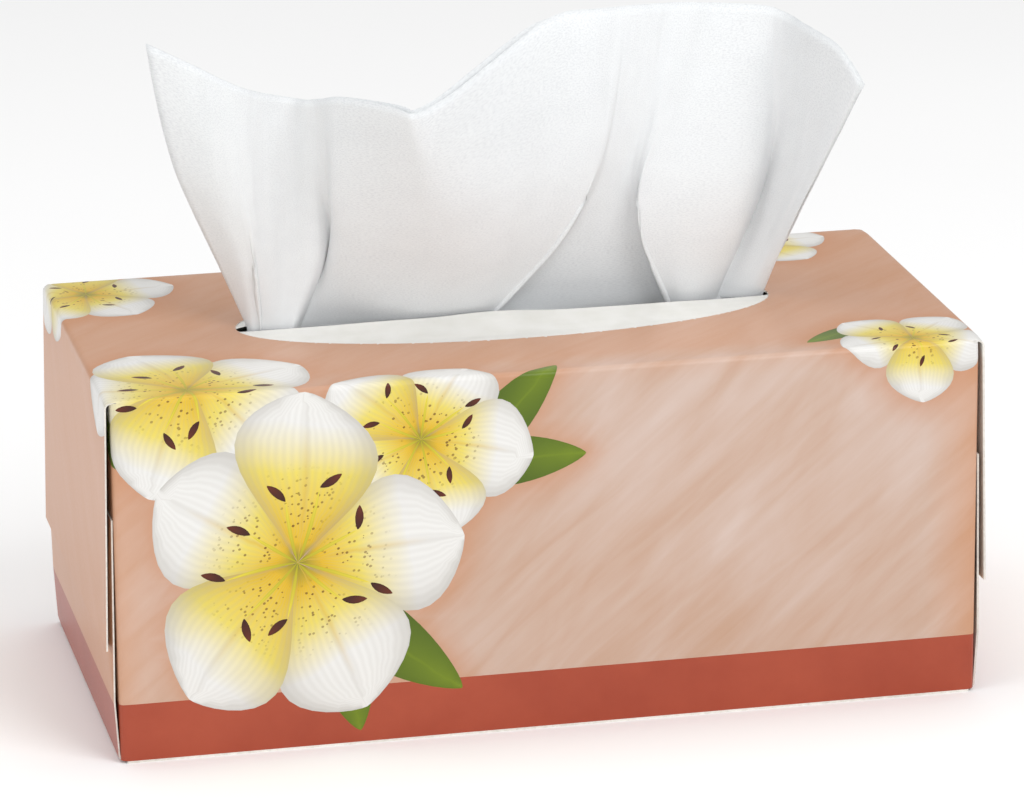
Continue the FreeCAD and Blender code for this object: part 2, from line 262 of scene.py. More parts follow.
def make_piece(name: str, points: list, faces: list, materials: list,
               smooth: bool = True) -> bpy.types.Object:
    """Make a mesh and put it in the scene.

    Args:
        name: the piece's name.
        points: its points.
        faces: its faces.
        materials: its finishes, in the order of their slots.
        smooth: whether its faces are shaded as one curved surface.

    Returns:
        The new object.
    """
    mesh = bpy.data.meshes.new(name)
    mesh.from_pydata(points, [], faces)
    for material in materials:
        mesh.materials.append(material)
    mesh.polygons.foreach_set("use_smooth", [smooth] * len(faces))
    piece = bpy.data.objects.new(name, mesh)
    bpy.context.collection.objects.link(piece)
    LOG.info("%s: %d faces", name, len(faces))
    return piece


# The carton's maps: the flat blank, the place along and across a field, and the baked sheet.
PRINT_UV = "Print"
PETAL_UV = "Petal"
BAKE_UV = "OFBake"

# What the petal map holds where there is no field.
OFF_PETAL = (0.0, 0.5)

# How near a point of the blank lies to a blossom or leaf, from 0 to 1.
GLOW = "Glow"


@dataclass(frozen=True)
class CoatedPrint:
    """The gloss coat over the printed board, shared by every ink."""

    coat: float = 0.14
    coat_roughness: float = 0.12
    specular: float = 0.26
    gloss_low: float = 0.29
    gloss_high: float = 0.40
    board_waviness: float = 0.05

    def dress(self, graph: NodeGraph, colour: Socket) -> bpy.types.Material:
        """Finish a material whose colour is already worked out.

        Args:
            graph: the material's node graph.
            colour: the socket that carries the ink's colour.

        Returns:
            The finished material.
        """
        place = graph.uv(PRINT_UV)
        fibre = graph.noise(graph.stretch(place, (1.0, 2.2, 1.0)), scale=900.0, detail=3.0, roughness=0.6)
        waves = graph.noise(place, scale=42.0, detail=2.0)
        relief = graph.math("ADD", graph.math("MULTIPLY", fibre, 0.06), waves)
        bump = graph.add("Bump", {"Height": relief, "Strength": self.board_waviness, "Distance": 0.002})
        gloss = graph.add("MapRange", {
            "Value": fibre,
            "To Min": self.gloss_low,
            "To Max": self.gloss_high,
        })
        return graph.finish(graph.add("BsdfPrincipled", {
            "Base Color": colour,
            "Roughness": gloss.outputs[0],
            "Normal": bump.outputs[0],
            "Specular IOR Level": self.specular,
            "Coat Weight": self.coat,
            "Coat Roughness": self.coat_roughness,
        }))


@dataclass(frozen=True)
class PeachGround:
    """The peach ground with its soft, slanting satin streaks, a glow round the motifs, and painted shade that
    deepens it at the carton's ends and past the front-top fold.
    """

    light: Colour = srgb(204, 186, 177)
    base: Colour = srgb(194, 168, 153)
    deep: Colour = srgb(184, 148, 124)
    # outer is painted shade: a deeper, darker orange laid over the carton's ends and, more weakly, from just
    # past the front-top fold onwards.
    outer: Colour = srgb(194, 128, 76)
    glow: Colour = srgb(186, 124, 80)
    streak_turn: float = 48.0
    end_shade_span: Point = (98 * MM, 118 * MM)
    top_shade_span: Point = (90 * MM, 108 * MM)
    top_shade_share: float = 0.7
    painted_shade_share: float = 0.75
    glow_share: float = 0.55
    coat: CoatedPrint = CoatedPrint()

    def build(self) -> bpy.types.Material:
        """Make the ground's material.

        Returns:
            The finished material.
        """
        graph = NodeGraph("peach_ground")
        place = graph.uv(PRINT_UV)
        broad = graph.noise(place, scale=9.0, detail=1.5)
        slant = graph.stretch(place, (1.0, 4.0, 1.0), self.streak_turn)
        streaks = graph.noise(slant, scale=22.0, detail=4.0, distortion=0.6)
        fine_slant = graph.stretch(place, (1.0, 12.0, 1.0), self.streak_turn - 9.0)
        fine = graph.noise(fine_slant, scale=26.0, detail=3.0, distortion=0.5)
        tone = graph.math("ADD", graph.math("MULTIPLY", streaks, 0.4), graph.math("MULTIPLY", broad, 0.42))
        tone = graph.math("ADD", tone, graph.math("MULTIPLY", fine, 0.18))
        ground = graph.ramp(tone, [(0.34, self.deep), (0.5, self.base), (0.66, self.light)]).outputs[0]
        split = graph.add("SeparateXYZ", {0: place})
        # Painted shade: the ground deepens towards outer at the carton's ends and, more weakly, from just
        # past the front-top fold onwards.
        ends = graph.between(graph.math("ABSOLUTE", split.outputs[0]), *self.end_shade_span)
        over = graph.between(split.outputs[1], *self.top_shade_span)
        away = graph.math("MAXIMUM", ends, graph.math("MULTIPLY", over, self.top_shade_share))
        ground = graph.mix(graph.math("MULTIPLY", away, self.painted_shade_share), ground, self.outer)
        glow = graph.add("Attribute", attribute_name=GLOW).outputs["Fac"]
        ground = graph.mix(graph.math("MULTIPLY", glow, self.glow_share), ground, self.glow)
        return self.coat.dress(graph, ground)


@dataclass(frozen=True)
class BandInk:
    """The plain terracotta band along the foot of the carton."""

    light: Colour = srgb(166, 74, 50)
    dark: Colour = srgb(154, 64, 42)
    coat: CoatedPrint = CoatedPrint()

    def build(self) -> bpy.types.Material:
        """Make the band's material.

        Returns:
            The finished material.
        """
        graph = NodeGraph("terracotta_band")
        mottle = graph.noise(graph.uv(PRINT_UV), scale=26.0, detail=5.0, roughness=0.6)
        ink = graph.ramp(mottle, [(0.35, self.dark), (0.65, self.light)]).outputs[0]
        return self.coat.dress(graph, ink)


@dataclass(frozen=True)
class PetalInk:
    """A petal: yellow-green throat, cream middle and white tip, with veins and freckles."""

    name: str = "petal_white"
    throat: Colour = srgb(112, 118, 12)
    yellow: Colour = srgb(214, 172, 8)
    cream: Colour = srgb(222, 204, 96)
    white: Colour = srgb(224, 223, 220)
    shade: Colour = srgb(164, 158, 150)
    freckle: Colour = srgb(82, 32, 10)
    warmth: float = 0.0
    coat: CoatedPrint = CoatedPrint()

    def build(self) -> bpy.types.Material:
        """Make the petal's material from its own along and across coordinates.

        Returns:
            The finished material.
        """
        graph = NodeGraph(self.name)
        split = graph.add("SeparateXYZ", {0: graph.uv(PETAL_UV)})
        along, across = split.outputs[0], split.outputs[1]
        place = graph.uv(PRINT_UV)
        wander = graph.noise(place, scale=60.0, detail=2.0)
        drift = graph.math("MULTIPLY", graph.math("SUBTRACT", wander, 0.5), 0.16)
        reach = graph.math("ADD", along, drift)
        body = graph.ramp(reach, [
            (0.0, self.throat),
            (0.14, self.yellow),
            (0.36 + self.warmth, self.cream),
            (0.66 + self.warmth, self.white),
        ]).outputs[0]
        side = graph.math("ABSOLUTE", graph.math("SUBTRACT", across, 0.5))
        rim = graph.ramp(side, [(0.0, 0.35), (0.05, 0.0), (0.34, 0.0), (0.5, 0.62)]).outputs[0]
        body = graph.mix(graph.math("MULTIPLY", rim, 0.55), body, self.shade)
        fall = graph.ramp(across, [(0.0, 0.5), (0.3, 0.05), (0.62, 0.0), (1.0, 0.3)]).outputs[0]
        body = graph.mix(fall, body, graph.mix(0.5, body, self.shade, "MULTIPLY"))
        ribs = graph.add("TexWave", {
            "Vector": graph.stretch(graph.uv(PETAL_UV), (0.05, 1.0, 1.0)),
            "Scale": 5.5, "Distortion": 1.6, "Detail": 2.0, "Detail Scale": 3.0,
        }, bands_direction="Y").outputs["Fac"]
        body = graph.mix(graph.math("MULTIPLY", ribs, 0.12), body, self.shade)
        crease = graph.ramp(side, [(0.0, 1.0), (0.035, 0.0)]).outputs[0]
        crease_fade = graph.ramp(along, [(0.05, 0.75), (0.8, 0.0)]).outputs[0]
        body = graph.mix(graph.math("MULTIPLY", crease, crease_fade), body, self.yellow)
        body = graph.mix(self.freckles(graph, place, along, side), body, self.freckle)
        return self.coat.dress(graph, body)

    def freckles(self, graph: NodeGraph, place: Socket, along: Socket, side: Socket) -> Socket:
        """Scatter small dots over the petal's throat.

        Args:
            graph: the material's node graph.
            place: the socket with the place on the blank.
            along: the socket with the place from the petal's base to its tip.
            side: the socket with the distance from its middle line.

        Returns:
            The socket that says how much of the freckle's colour shows.
        """
        cells = graph.add("TexVoronoi", {
            "Vector": graph.stretch(place, (1.0, 1.25, 1.0), 30.0), "Scale": 760.0, "Randomness": 1.0,
        })
        dots = graph.math("LESS_THAN", cells.outputs["Distance"], 0.3)
        chance = graph.add("SeparateColor", {0: cells.outputs["Color"]}).outputs[0]
        kept = graph.math("MULTIPLY", dots, graph.math("GREATER_THAN", chance, 0.5))
        zone = graph.ramp(along, [(0.12, 0.0), (0.2, 1.0), (0.42, 0.7), (0.58, 0.0)]).outputs[0]
        middle = graph.ramp(side, [(0.2, 1.0), (0.36, 0.0)]).outputs[0]
        spread = graph.math("MULTIPLY", zone, middle)
        return graph.math("MULTIPLY", graph.math("MULTIPLY", spread, kept), 0.8)


@dataclass(frozen=True)
class PlainInk:
    """A small printed field whose colour runs from its base to its tip."""

    name: str
    base: tuple
    tip: tuple
    rib: float = 0.0
    coat: CoatedPrint = CoatedPrint()

    def build(self) -> bpy.types.Material:
        """Make the field's material.

        Returns:
            The finished material.
        """
        graph = NodeGraph(self.name)
        split = graph.add("SeparateXYZ", {0: graph.uv(PETAL_UV)})
        colour = graph.ramp(split.outputs[0], [(0.0, self.base), (1.0, self.tip)]).outputs[0]
        side = graph.math("ABSOLUTE", graph.math("SUBTRACT", split.outputs[1], 0.5))
        shade = graph.ramp(side, [(0.0, 0.0), (0.5, 1.0)]).outputs[0]
        colour = graph.mix(graph.math("MULTIPLY", shade, 0.35), colour, self.base)
        if self.rib:
            line = graph.ramp(side, [(0.0, 1.0), (0.045, 0.0)]).outputs[0]
            colour = graph.mix(graph.math("MULTIPLY", line, self.rib), colour, self.tip)
        return self.coat.dress(graph, colour)


@dataclass(frozen=True)
class RawBoard:
    """The uncoated inside and the cut edges of the board."""

    pale: Colour = srgb(232, 229, 222)
    grey: Colour = srgb(206, 201, 192)

    def build(self) -> bpy.types.Material:
        """Make the raw board's material.

        Returns:
            The finished material.
        """
        graph = NodeGraph("raw_board")
        place = graph.add("TexCoord").outputs["Object"]
        fibre = graph.noise(place, scale=700.0, detail=4.0, roughness=0.65)
        patch = graph.noise(place, scale=45.0, detail=3.0)
        tone = graph.math("ADD", graph.math("MULTIPLY", fibre, 0.6), graph.math("MULTIPLY", patch, 0.4))
        colour = graph.ramp(tone, [(0.35, self.grey), (0.62, self.pale)]).outputs[0]
        bump = graph.add("Bump", {"Height": fibre, "Strength": 0.2, "Distance": 0.0003})
        return graph.finish(graph.add("BsdfPrincipled", {
            "Base Color": colour, "Roughness": 0.86, "Normal": bump.outputs[0],
        }))


@dataclass(frozen=True)
class MilkyFilmWithPaintedReflection:
    """The slightly milky window film, whose near-white colour and high opacity are partly painted reflection.
    """

    # Near-white colours and high alpha: partly the film's own milkiness, partly painted reflection of the
    # light on it.
    clear: Colour = srgb(243, 242, 238)
    hazy: Colour = srgb(236, 235, 229)
    alpha: float = 0.86

    def build(self) -> bpy.types.Material:
        """Make the film's material.

        Returns:
            The finished material.
        """
        graph = NodeGraph("milky_film_painted_reflection")
        place = graph.add("TexCoord").outputs["Object"]
        ripple = graph.noise(graph.stretch(place, (0.35, 1.6, 1.0)), scale=70.0, detail=2.0)
        haze = graph.noise(place, scale=160.0, detail=3.0)
        bump = graph.add("Bump", {"Height": ripple, "Strength": 0.35, "Distance": 0.001})
        colour = graph.ramp(haze, [(0.3, self.hazy), (0.7, self.clear)]).outputs[0]
        gloss = graph.add("MapRange", {"Value": haze, "To Min": 0.12, "To Max": 0.24})
        return graph.finish(graph.add("BsdfPrincipled", {
            "Base Color": colour, "Roughness": gloss.outputs[0], "Normal": bump.outputs[0],
            "Alpha": self.alpha, "IOR": 1.49,
        }))


@dataclass(frozen=True)
class TissuePaper:
    """Soft white creped tissue, which lets some light through."""

    white: Colour = srgb(243, 245, 246)
    shade: Colour = srgb(231, 233, 235)
    through: float = 0.2

    def build(self) -> bpy.types.Material:
        """Make the tissue's material.

        Returns:
            The finished material.
        """
        graph = NodeGraph("tissue_paper")
        place = graph.add("TexCoord").outputs["UV"]
        crepe = graph.noise(graph.stretch(place, (1.0, 1.5, 1.0)), scale=2200.0, detail=2.0, roughness=0.7)
        cloud = graph.noise(place, scale=130.0, detail=4.0, roughness=0.6)
        tone = graph.math("ADD", graph.math("MULTIPLY", crepe, 0.85), graph.math("MULTIPLY", cloud, 0.15))
        colour = graph.ramp(tone, [(0.38, self.shade), (0.56, self.white)]).outputs[0]
        bump = graph.add("Bump", {"Height": tone, "Strength": 0.3, "Distance": 0.00015})
        paper = graph.add("BsdfPrincipled", {
            "Base Color": colour, "Roughness": 0.92, "Normal": bump.outputs[0],
            "Sheen Weight": 0.12, "Specular IOR Level": 0.2,
        })
        glowing = graph.add("BsdfTranslucent", {"Color": colour, "Normal": bump.outputs[0]})
        both = {0: self.through, 1: paper.outputs[0], 2: glowing.outputs[0]}
        return graph.finish(graph.add("MixShader", both))


@dataclass(frozen=True)
class StackedPaper:
    """The side of the folded stack, with the fine lines of its layers."""

    shade: Colour = srgb(214, 213, 211)
    white: Colour = srgb(242, 242, 240)

    def build(self) -> bpy.types.Material:
        """Make the stack's material.

        Returns:
            The finished material.
        """
        graph = NodeGraph("stacked_tissue")
        place = graph.add("TexCoord").outputs["Object"]
        layers = graph.add("TexWave", {
            "Vector": place, "Scale": 260.0, "Distortion": 1.2, "Detail": 2.0,
        }, bands_direction="Z").outputs["Fac"]
        fluff = graph.noise(place, scale=500.0, detail=4.0)
        relief = graph.math("ADD", layers, graph.math("MULTIPLY", fluff, 0.4))
        colour = graph.ramp(relief, [(0.2, self.shade), (0.8, self.white)]).outputs[0]
        bump = graph.add("Bump", {"Height": relief, "Strength": 0.5, "Distance": 0.0004})
        return graph.finish(graph.add("BsdfPrincipled", {
            "Base Color": colour, "Roughness": 0.94, "Normal": bump.outputs[0],
        }))


class Ink(Enum):
    """The printed fields and bare faces of the carton, in the order of its material slots."""

    GROUND = 0
    BAND = 1
    PETAL = 2
    PETAL_WARM = 3
    LEAF = 4
    STAMEN = 5
    ANTHER = 6
    RAW = 7


@dataclass
class PrintShape:
    """One printed field on the flat blank: a leaf-like outline with a base, a tip and a bend."""

    ink: Ink
    base: Point
    turn: float
    length: float
    width: float
    bend: float = 0.0
    fullness: float = 0.62
    least_share: float = 0.04
    steps: int = 18

    def half_width(self, along: float) -> float:
        """Give half the field's width at a place from base, 0, to tip, 1."""
        swell = math.sin(math.pi * max(0.0, min(1.0, along)) ** self.skew())
        return self.width / 2 * max(0.0, swell) ** 0.72

    def skew(self) -> float:
        """Give the exponent that puts the widest place at the fullness."""
        return math.log(0.5) / math.log(self.fullness)

    def centre(self, along: float) -> Point:
        """Give the place of the bent middle line, in the field's own frame."""
        return along * self.length, self.bend * self.length * along * along

    def outline(self) -> list[Point]:
        """Give the field's outline.

        Returns:
            Its points on the blank, crowded towards its base and its tip.
        """
        near, far = [], []
        for step in range(self.steps + 1):
            along = 0.5 - 0.5 * math.cos(math.pi * step / self.steps)
            x, y = self.centre(along)
            half = self.half_width(along)
            near.append((x, y + half))
            far.append((x, y - half))
        return [self.to_blank(point) for point in near + far[-2:0:-1]]

    def to_blank(self, point: Point) -> Point:
        """Turn and move a point from the field's own frame to the blank."""
        c, s = math.cos(self.turn), math.sin(self.turn)
        return self.base[0] + c * point[0] - s * point[1], self.base[1] + s * point[0] + c * point[1]

    def local(self, point: Point) -> Point:
        """Say where a point lies in the field.

        Args:
            point: the point on the blank.

        Returns:
            Its places along and across the field, each from 0 to 1.
        """
        c, s = math.cos(self.turn), math.sin(self.turn)
        dx, dy = point[0] - self.base[0], point[1] - self.base[1]
        x, y = c * dx + s * dy, -s * dx + c * dy
        along = max(0.0, min(1.0, x / self.length))
        half = max(self.half_width(along), self.width * self.least_share)
        across = (y - self.centre(along)[1]) / (2 * half)
        return along, max(0.0, min(1.0, 0.5 + across))


def inside(point: Point, ring: list[Point]) -> bool:
    """Say whether a point lies inside a closed outline.

    Args:
        point: the point.
        ring: the outline's corners.

    Returns:
        True where a line from the point crosses the outline an odd number of times.
    """
    x, y = point
    odd = False
    previous = ring[-1]
    for corner in ring:
        if (corner[1] > y) != (previous[1] > y):
            cross = (previous[0] - corner[0]) * (y - corner[1]) / (previous[1] - corner[1]) + corner[0]
            if x < cross:
                odd = not odd
        previous = corner
    return odd


# A blossom's petals in the order in which they overlap, the lowest first.
PETAL_ORDER = (0, 2, 4, 1, 3)


@dataclass
class Blossom:
    """A generic five-petalled blossom with a yellow eye and brown-headed stamens."""

    centre: Point
    radius: float
    turn: float
    tilt: float = 1.0
    stamens: int = 9

    def shapes(self) -> list[PrintShape]:
        """Give the blossom's printed fields.

        Returns:
            Its petals and then its stamens, the lowest first.
        """
        fields = []
        for number in PETAL_ORDER:
            turn = self.turn + number * 2 * math.pi / len(PETAL_ORDER)
            squash = 1 - (1 - self.tilt) * abs(math.sin(turn))
            fields.append(PrintShape(
                ink=Ink.PETAL if number % 2 == 0 else Ink.PETAL_WARM,
                base=self.centre,
                turn=turn,
                length=self.radius * squash * (1 + 0.05 * math.sin(number * 2.3)),
                width=self.radius * 0.86,
                bend=0.10 if number % 2 else -0.06,
                fullness=0.64,
                steps=20,
            ))
        for number in range(self.stamens):
            turn = self.turn + 0.3 + number * 2 * math.pi / self.stamens + 0.22 * math.sin(number * 3.1)
            reach = self.radius * (0.40 + 0.07 * math.sin(number * 1.7))
            stalk = PrintShape(
                ink=Ink.STAMEN,
                base=self.centre,
                turn=turn,
                length=reach,
                width=self.radius * 0.022,
                bend=0.12 * math.sin(number * 2.0),
                fullness=0.5,
                steps=6,
            )
            head = PrintShape(
                ink=Ink.ANTHER,
                base=stalk.to_blank((reach, stalk.bend * reach)),
                turn=turn + 0.9 * math.cos(number * 2.6),
                length=self.radius * 0.15,
                width=self.radius * 0.052,
                bend=0.12,
                fullness=0.5,
                steps=8,
            )
            fields += [stalk, head]
        return fields


@dataclass
class Sprig:
    """Green leaves that fan out from one place."""

    base: Point
    turns: tuple[int, ...]
    length: float
    width: float
    bend: float = 0.12

    def shapes(self) -> list[PrintShape]:
        """Give the sprig's leaves.

        Returns:
            The leaves, each a little shorter than the one before and bent the other way.
        """
        return [
            PrintShape(
                ink=Ink.LEAF,
                base=self.base,
                turn=math.radians(turn),
                length=self.length * (1 - 0.13 * number),
                width=self.width,
                bend=self.bend * (-1) ** number,
                fullness=0.45,
            )
            for number, turn in enumerate(self.turns)
        ]


# One nick of the torn perforation: the share of its pitch, and how far out the edge stands there.
NICK_SHAPE = ((0.0, 0.0), (0.4, 0.0), (0.68, -0.4), (0.74, 1.0), (0.82, 0.9), (0.88, -0.3))


@dataclass
class Carton:
    """The folded carton, printed on its flat blank and then folded up.

    The blank's x runs along the carton and its w round it, from the front panel's
    raw bottom edge over the top and the back to the bottom panel and the glue lap.
    """

    length: float = span("carton", 0)
    depth: float = span("carton", 1)
    height: float = span("carton", 2)
    board: float = 0.45 * MM
    fold: float = 1.6 * MM
    side_gap: float = 0.7 * MM
    layer_gap: float = 0.5 * MM
    lean: float = 1.4 * MM
    corner_inset: float = 0.15 * MM
    lower_bow: float = 1.3 * MM
    panel_swell: float = 0.35 * MM
    lap: float = 14 * MM
    upper_flap: float = 65 * MM
    lower_flap: float = 64 * MM
    dust_flap: float = 50 * MM
    opening: Point = (142 * MM, 52 * MM)
    nick_pitch: float = 3.6 * MM
    nick_depth: float = 0.6 * MM
    band: float = 15.7 * MM
    bare_foot: float = 0.6 * MM
    grid: float = 5.0 * MM
    glow_reach: float = 9.0 * MM
    sharp_above: float = 35.0
    bake_share: float = 1.01
    bake_outside: tuple[float, float, float] = (0.42, 0.002, 1.0)
    bake_inside: tuple[float, float, float] = (0.93, 0.01, 0.14)
    fields: list[PrintShape] = field(default_factory=list)

    def __post_init__(self) -> None:
        """Work out the places that the fold lines share."""
        self.top_from = self.height
        self.back_from = self.height + self.depth
        self.bottom_from = 2 * self.height + self.depth
        self.lap_from = self.bottom_from + self.depth - self.board
        self.blank_end = self.lap_from + self.lap
        self.upper_face = self.length / 2 - self.lean
        self.lower_face = self.upper_face - self.board - self.layer_gap
        self.dust_face = self.lower_face - self.board
        self.sleeve_end = self.dust_face - self.fold

    def sleeve_point(self, w: float, deep: float) -> tuple[float, float, float, float]:
        """Follow the sleeve's section.

        Args:
            w: the place round the blank.
            deep: the depth below the printed face.

        Returns:
            y, z and the outward direction's y and z.
        """
        d, h, r = self.depth / 2, self.height, self.fold
        corners = (
            (self.top_from, (-d + r, h - r), 180.0),
            (self.back_from, (d - r, h - r), 90.0),
            (self.bottom_from, (d - r, r), 0.0),
            (self.lap_from, (-d + self.board + r, r), -90.0),
        )
        for at, centre, start in corners:
            if abs(w - at) < r:
                angle = math.radians(start - 90 * (w - at + r) / (2 * r))
                out = (math.cos(angle), math.sin(angle))
                return centre[0] + out[0] * (r - deep), centre[1] + out[1] * (r - deep), *out
        if w < self.top_from:
            return -d + deep, w, -1.0, 0.0
        if w < self.back_from:
            return w - self.top_from - d, h - deep, 0.0, 1.0
        if w < self.bottom_from:
            return d - deep, h - (w - self.back_from), 1.0, 0.0
        if w < self.lap_from:
            return d - (w - self.bottom_from), deep, 0.0, -1.0
        return -d + self.board + deep, w - self.lap_from, -1.0, 0.0

    def place(self, x: float, w: float, deep: float) -> Vector:
        """Fold one point of the blank up into the carton.

        Args:
            x: the place along the blank.
            w: the place round the blank.
            deep: the depth below the printed face.

        Returns:
            The point in the carton's frame.
        """
        y, z, out_y, out_z = self.sleeve_point(w, deep)
        side, reach = math.copysign(1.0, x), abs(x)
        if reach <= self.sleeve_end + TINY:
            bulge = self.bulge(x, w)
            return Vector((x, y + out_y * bulge, z + out_z * bulge))
        top = self.top_from < w < self.back_from
        bottom = self.bottom_from < w < self.lap_from
        face = self.upper_face if top else self.lower_face if bottom else self.dust_face
        start = face - self.fold
        past = reach - start
        if past <= 0:
            across, down = reach, 0.0
            angle = 0.0
        elif past < 2 * self.fold:
            angle = math.pi / 2 * past / (2 * self.fold)
            across = start + math.sin(angle) * (self.fold - deep)
            down = self.fold - math.cos(angle) * (self.fold - deep)
        else:
            angle = math.pi / 2
            run = past - 2 * self.fold
            across = face - deep
            down = self.fold + run
            if top:
                across += self.lean * run / (self.upper_flap - self.fold)
            if bottom:
                across += self.lower_bow * math.sin(math.pi * min(1.0, run / self.lower_flap))
        if past <= 0:
            return Vector((side * across, y, z))
        skin_y, skin_z = self.sleeve_point(w, 0.0)[:2]
        if top:
            return Vector((side * across, y, skin_z - down))
        if bottom:
            return Vector((side * across, y, skin_z + down))
        y_side = -1.0 if w < self.top_from else 1.0
        return Vector((side * across, skin_y - y_side * down, z))

    def bulge(self, x: float, w: float) -> float:
        """Give the slight outward swell of the front and back panels between their folds.

        Args:
            x: the place along the blank.
            w: the place round the blank.

        Returns:
            The swell, which is 0 on the other panels.
        """
        for start in (0.0, self.back_from):
            share = (w - start) / self.height
            if 0 < share < 1:
                along = math.cos(math.pi * x / self.length) ** 2
                return self.panel_swell * along * math.sin(math.pi * share) ** 2
        return 0.0

    def end_ring(self, side: int) -> list[Point]:
        """Give the blank's outline along one end.

        Args:
            side: 1 for the right end, -1 for the left.

        Returns:
            Its corners, from the front's raw edge to the lap.
        """
        gap, end = self.side_gap, self.sleeve_end
        dust = self.dust_face + self.dust_flap
        upper = self.upper_face + self.upper_flap
        lower = self.lower_face + self.lower_flap
        near = self.corner_inset
        spans = (
            (0.0, self.top_from, dust, gap, near),
            (self.top_from, self.back_from, upper, near, near),
            (self.back_from, self.bottom_from, dust, near, near),
            (self.bottom_from, self.lap_from, lower, near, near),
        )
        ring = [(side * end, 0.0)]
        for low, high, reach, inset_low, inset_high in spans:
            ring += [
                (side * end, low + inset_low), (side * reach, low + inset_low),
                (side * reach, high - inset_high), (side * end, high - inset_high),
            ]
        return ring + [(side * end, self.blank_end)]

    def blank_ring(self) -> list[Point]:
        """Give the whole blank's outline."""
        return self.end_ring(1) + self.end_ring(-1)[::-1]

    def opening_ring(self) -> list[Point]:
        """Give the oval opening's outline, with the nicks of its torn perforation.

        Returns:
            Its points on the blank.
        """
        half_length, half_width = self.opening[0] / 2, self.opening[1] / 2
        root = math.sqrt((3 * half_length + half_width) * (half_length + 3 * half_width))
        around = math.pi * (3 * (half_length + half_width) - root)
        nicks = round(around / self.nick_pitch)
        middle = self.top_from + self.depth / 2
        ring = []
        for nick in range(nicks):
            for share, depth in NICK_SHAPE:
                angle = 2 * math.pi * (nick + share) / nicks
                grow = self.nick_depth * depth * (0.6 + 0.4 * math.sin(nick * 2.1))
                x, y = math.cos(angle) * (half_length + grow), math.sin(angle) * (half_width + grow)
                ring.append((x, middle + y))
        return ring

    def lines(self) -> list[list[Point]]:
        """Give the straight lines that the mesh has to follow.

        Returns:
            The folds' lines and the band's top edge, each as a row of points.
        """
        r, end = self.fold, self.sleeve_end
        rows = []
        for at in (self.top_from, self.back_from, self.bottom_from, self.lap_from):
            rows += [at + r * share for share in (-1.0, -0.5, 0.0, 0.5, 1.0)]
        rows += [self.bare_foot, self.band, self.bottom_from - self.band]
        dust_end = self.dust_face + self.dust_flap
        lines = []
        for w in rows:
            reach = dust_end if w in (self.band, self.bottom_from - self.band) else end
            steps = round(2 * reach / self.grid)
            lines.append([(-reach + 2 * reach * step / steps, w) for step in range(steps + 1)])
        near = self.corner_inset
        spans = (
            (self.side_gap, self.top_from - near, self.dust_face, ()),
            (self.top_from + near, self.back_from - near, self.upper_face, ()),
            (self.back_from + near, self.bottom_from - near, self.dust_face, ()),
            (self.bottom_from + near, self.lap_from - near, self.lower_face, (self.band,)),
        )
        for low, high, face, extra in spans:
            places = [face - r + 2 * r * share for share in (0.0, 0.25, 0.5, 0.75, 1.0)]
            places += [face + height for height in extra]
            across = round((high - low) / self.grid)
            for side in (-1, 1):
                for place in places:
                    if place <= end:
                        continue
                    lines.append([
                        (side * place, low + (high - low) * step / across)
                        for step in range(across + 1)
                    ])
        return lines

    def mesh_blank(self) -> tuple[list[Point], list[tuple[int, int, int]]]:
        """Cut the blank into triangles that follow its outline, folds and print.

        Returns:
            The points and the triangles.
        """
        weld = 1e-7
        points: list[Vector] = []
        edges: list[tuple[int, int]] = []

        def add_line(line: list[Point], closed: bool) -> None:
            """Add a row of points and the edges between them.

            Args:
                line: the points.
                closed: whether an edge joins the last one to the first.
            """
            first = len(points)
            points.extend(Vector(point) for point in line)
            edges.extend((first + i, first + i + 1) for i in range(len(line) - 1))
            if closed:
                edges.append((first + len(line) - 1, first))

        ring, hole = self.blank_ring(), self.opening_ring()
        add_line(ring, True)
        add_line(hole, True)
        for line in self.lines():
            add_line(line, False)
        for shape in self.fields:
            add_line(shape.outline(), True)
        reach = max(abs(point[0]) for point in ring)
        columns, rows = int(2 * reach / self.grid), int(self.blank_end / self.grid)
        for i in range(columns):
            for j in range(rows):
                x = -reach + (i + 0.5 + 0.25 * (j % 2)) * 2 * reach / columns
                w = (j + 0.5) * self.blank_end / rows
                if inside((x, w), ring):
                    points.append(Vector((x, w)))
        found = delaunay_2d_cdt(points, edges, [], 0, weld)
        flat = [(point.x, point.y) for point in found[0]]
        triangles = []
        for corners in found[2]:
            middle = (sum(flat[i][0] for i in corners) / 3, sum(flat[i][1] for i in corners) / 3)
            if inside(middle, ring) and not inside(middle, hole):
                triangles.append(tuple(corners))
        return flat, triangles

    def stack_fields(self) -> list[tuple]:
        """Get the printed fields ready to be looked up.

        Returns:
            Each field with its outline and the outline's box, the highest first.
        """
        stacked = []
        for shape in reversed(self.fields):
            ring = shape.outline()
            xs, ws = zip(*ring)
            stacked.append((shape, ring, (min(xs), max(xs), min(ws), max(ws))))
        return stacked

    def ink_at(self, point: Point, stacked: list[tuple]) -> tuple[Ink, PrintShape | None]:
        """Say what is printed at a point of the blank.

        Args:
            point: the point.
            stacked: the printed fields, the highest first.

        Returns:
            The ink, and the field where the point lies in one.
        """
        x, w = point
        for shape, ring, box in stacked:
            if box[0] <= x <= box[1] and box[2] <= w <= box[3] and inside(point, ring):
                return shape.ink, shape
        if w < self.bare_foot:
            return Ink.RAW, None
        if w < self.band or self.bottom_from - self.band < w < self.bottom_from:
            return Ink.BAND, None
        if w >= self.bottom_from:
            past = abs(x) - self.lower_face
            return (Ink.GROUND if past > self.band else Ink.BAND), None
        return Ink.GROUND, None

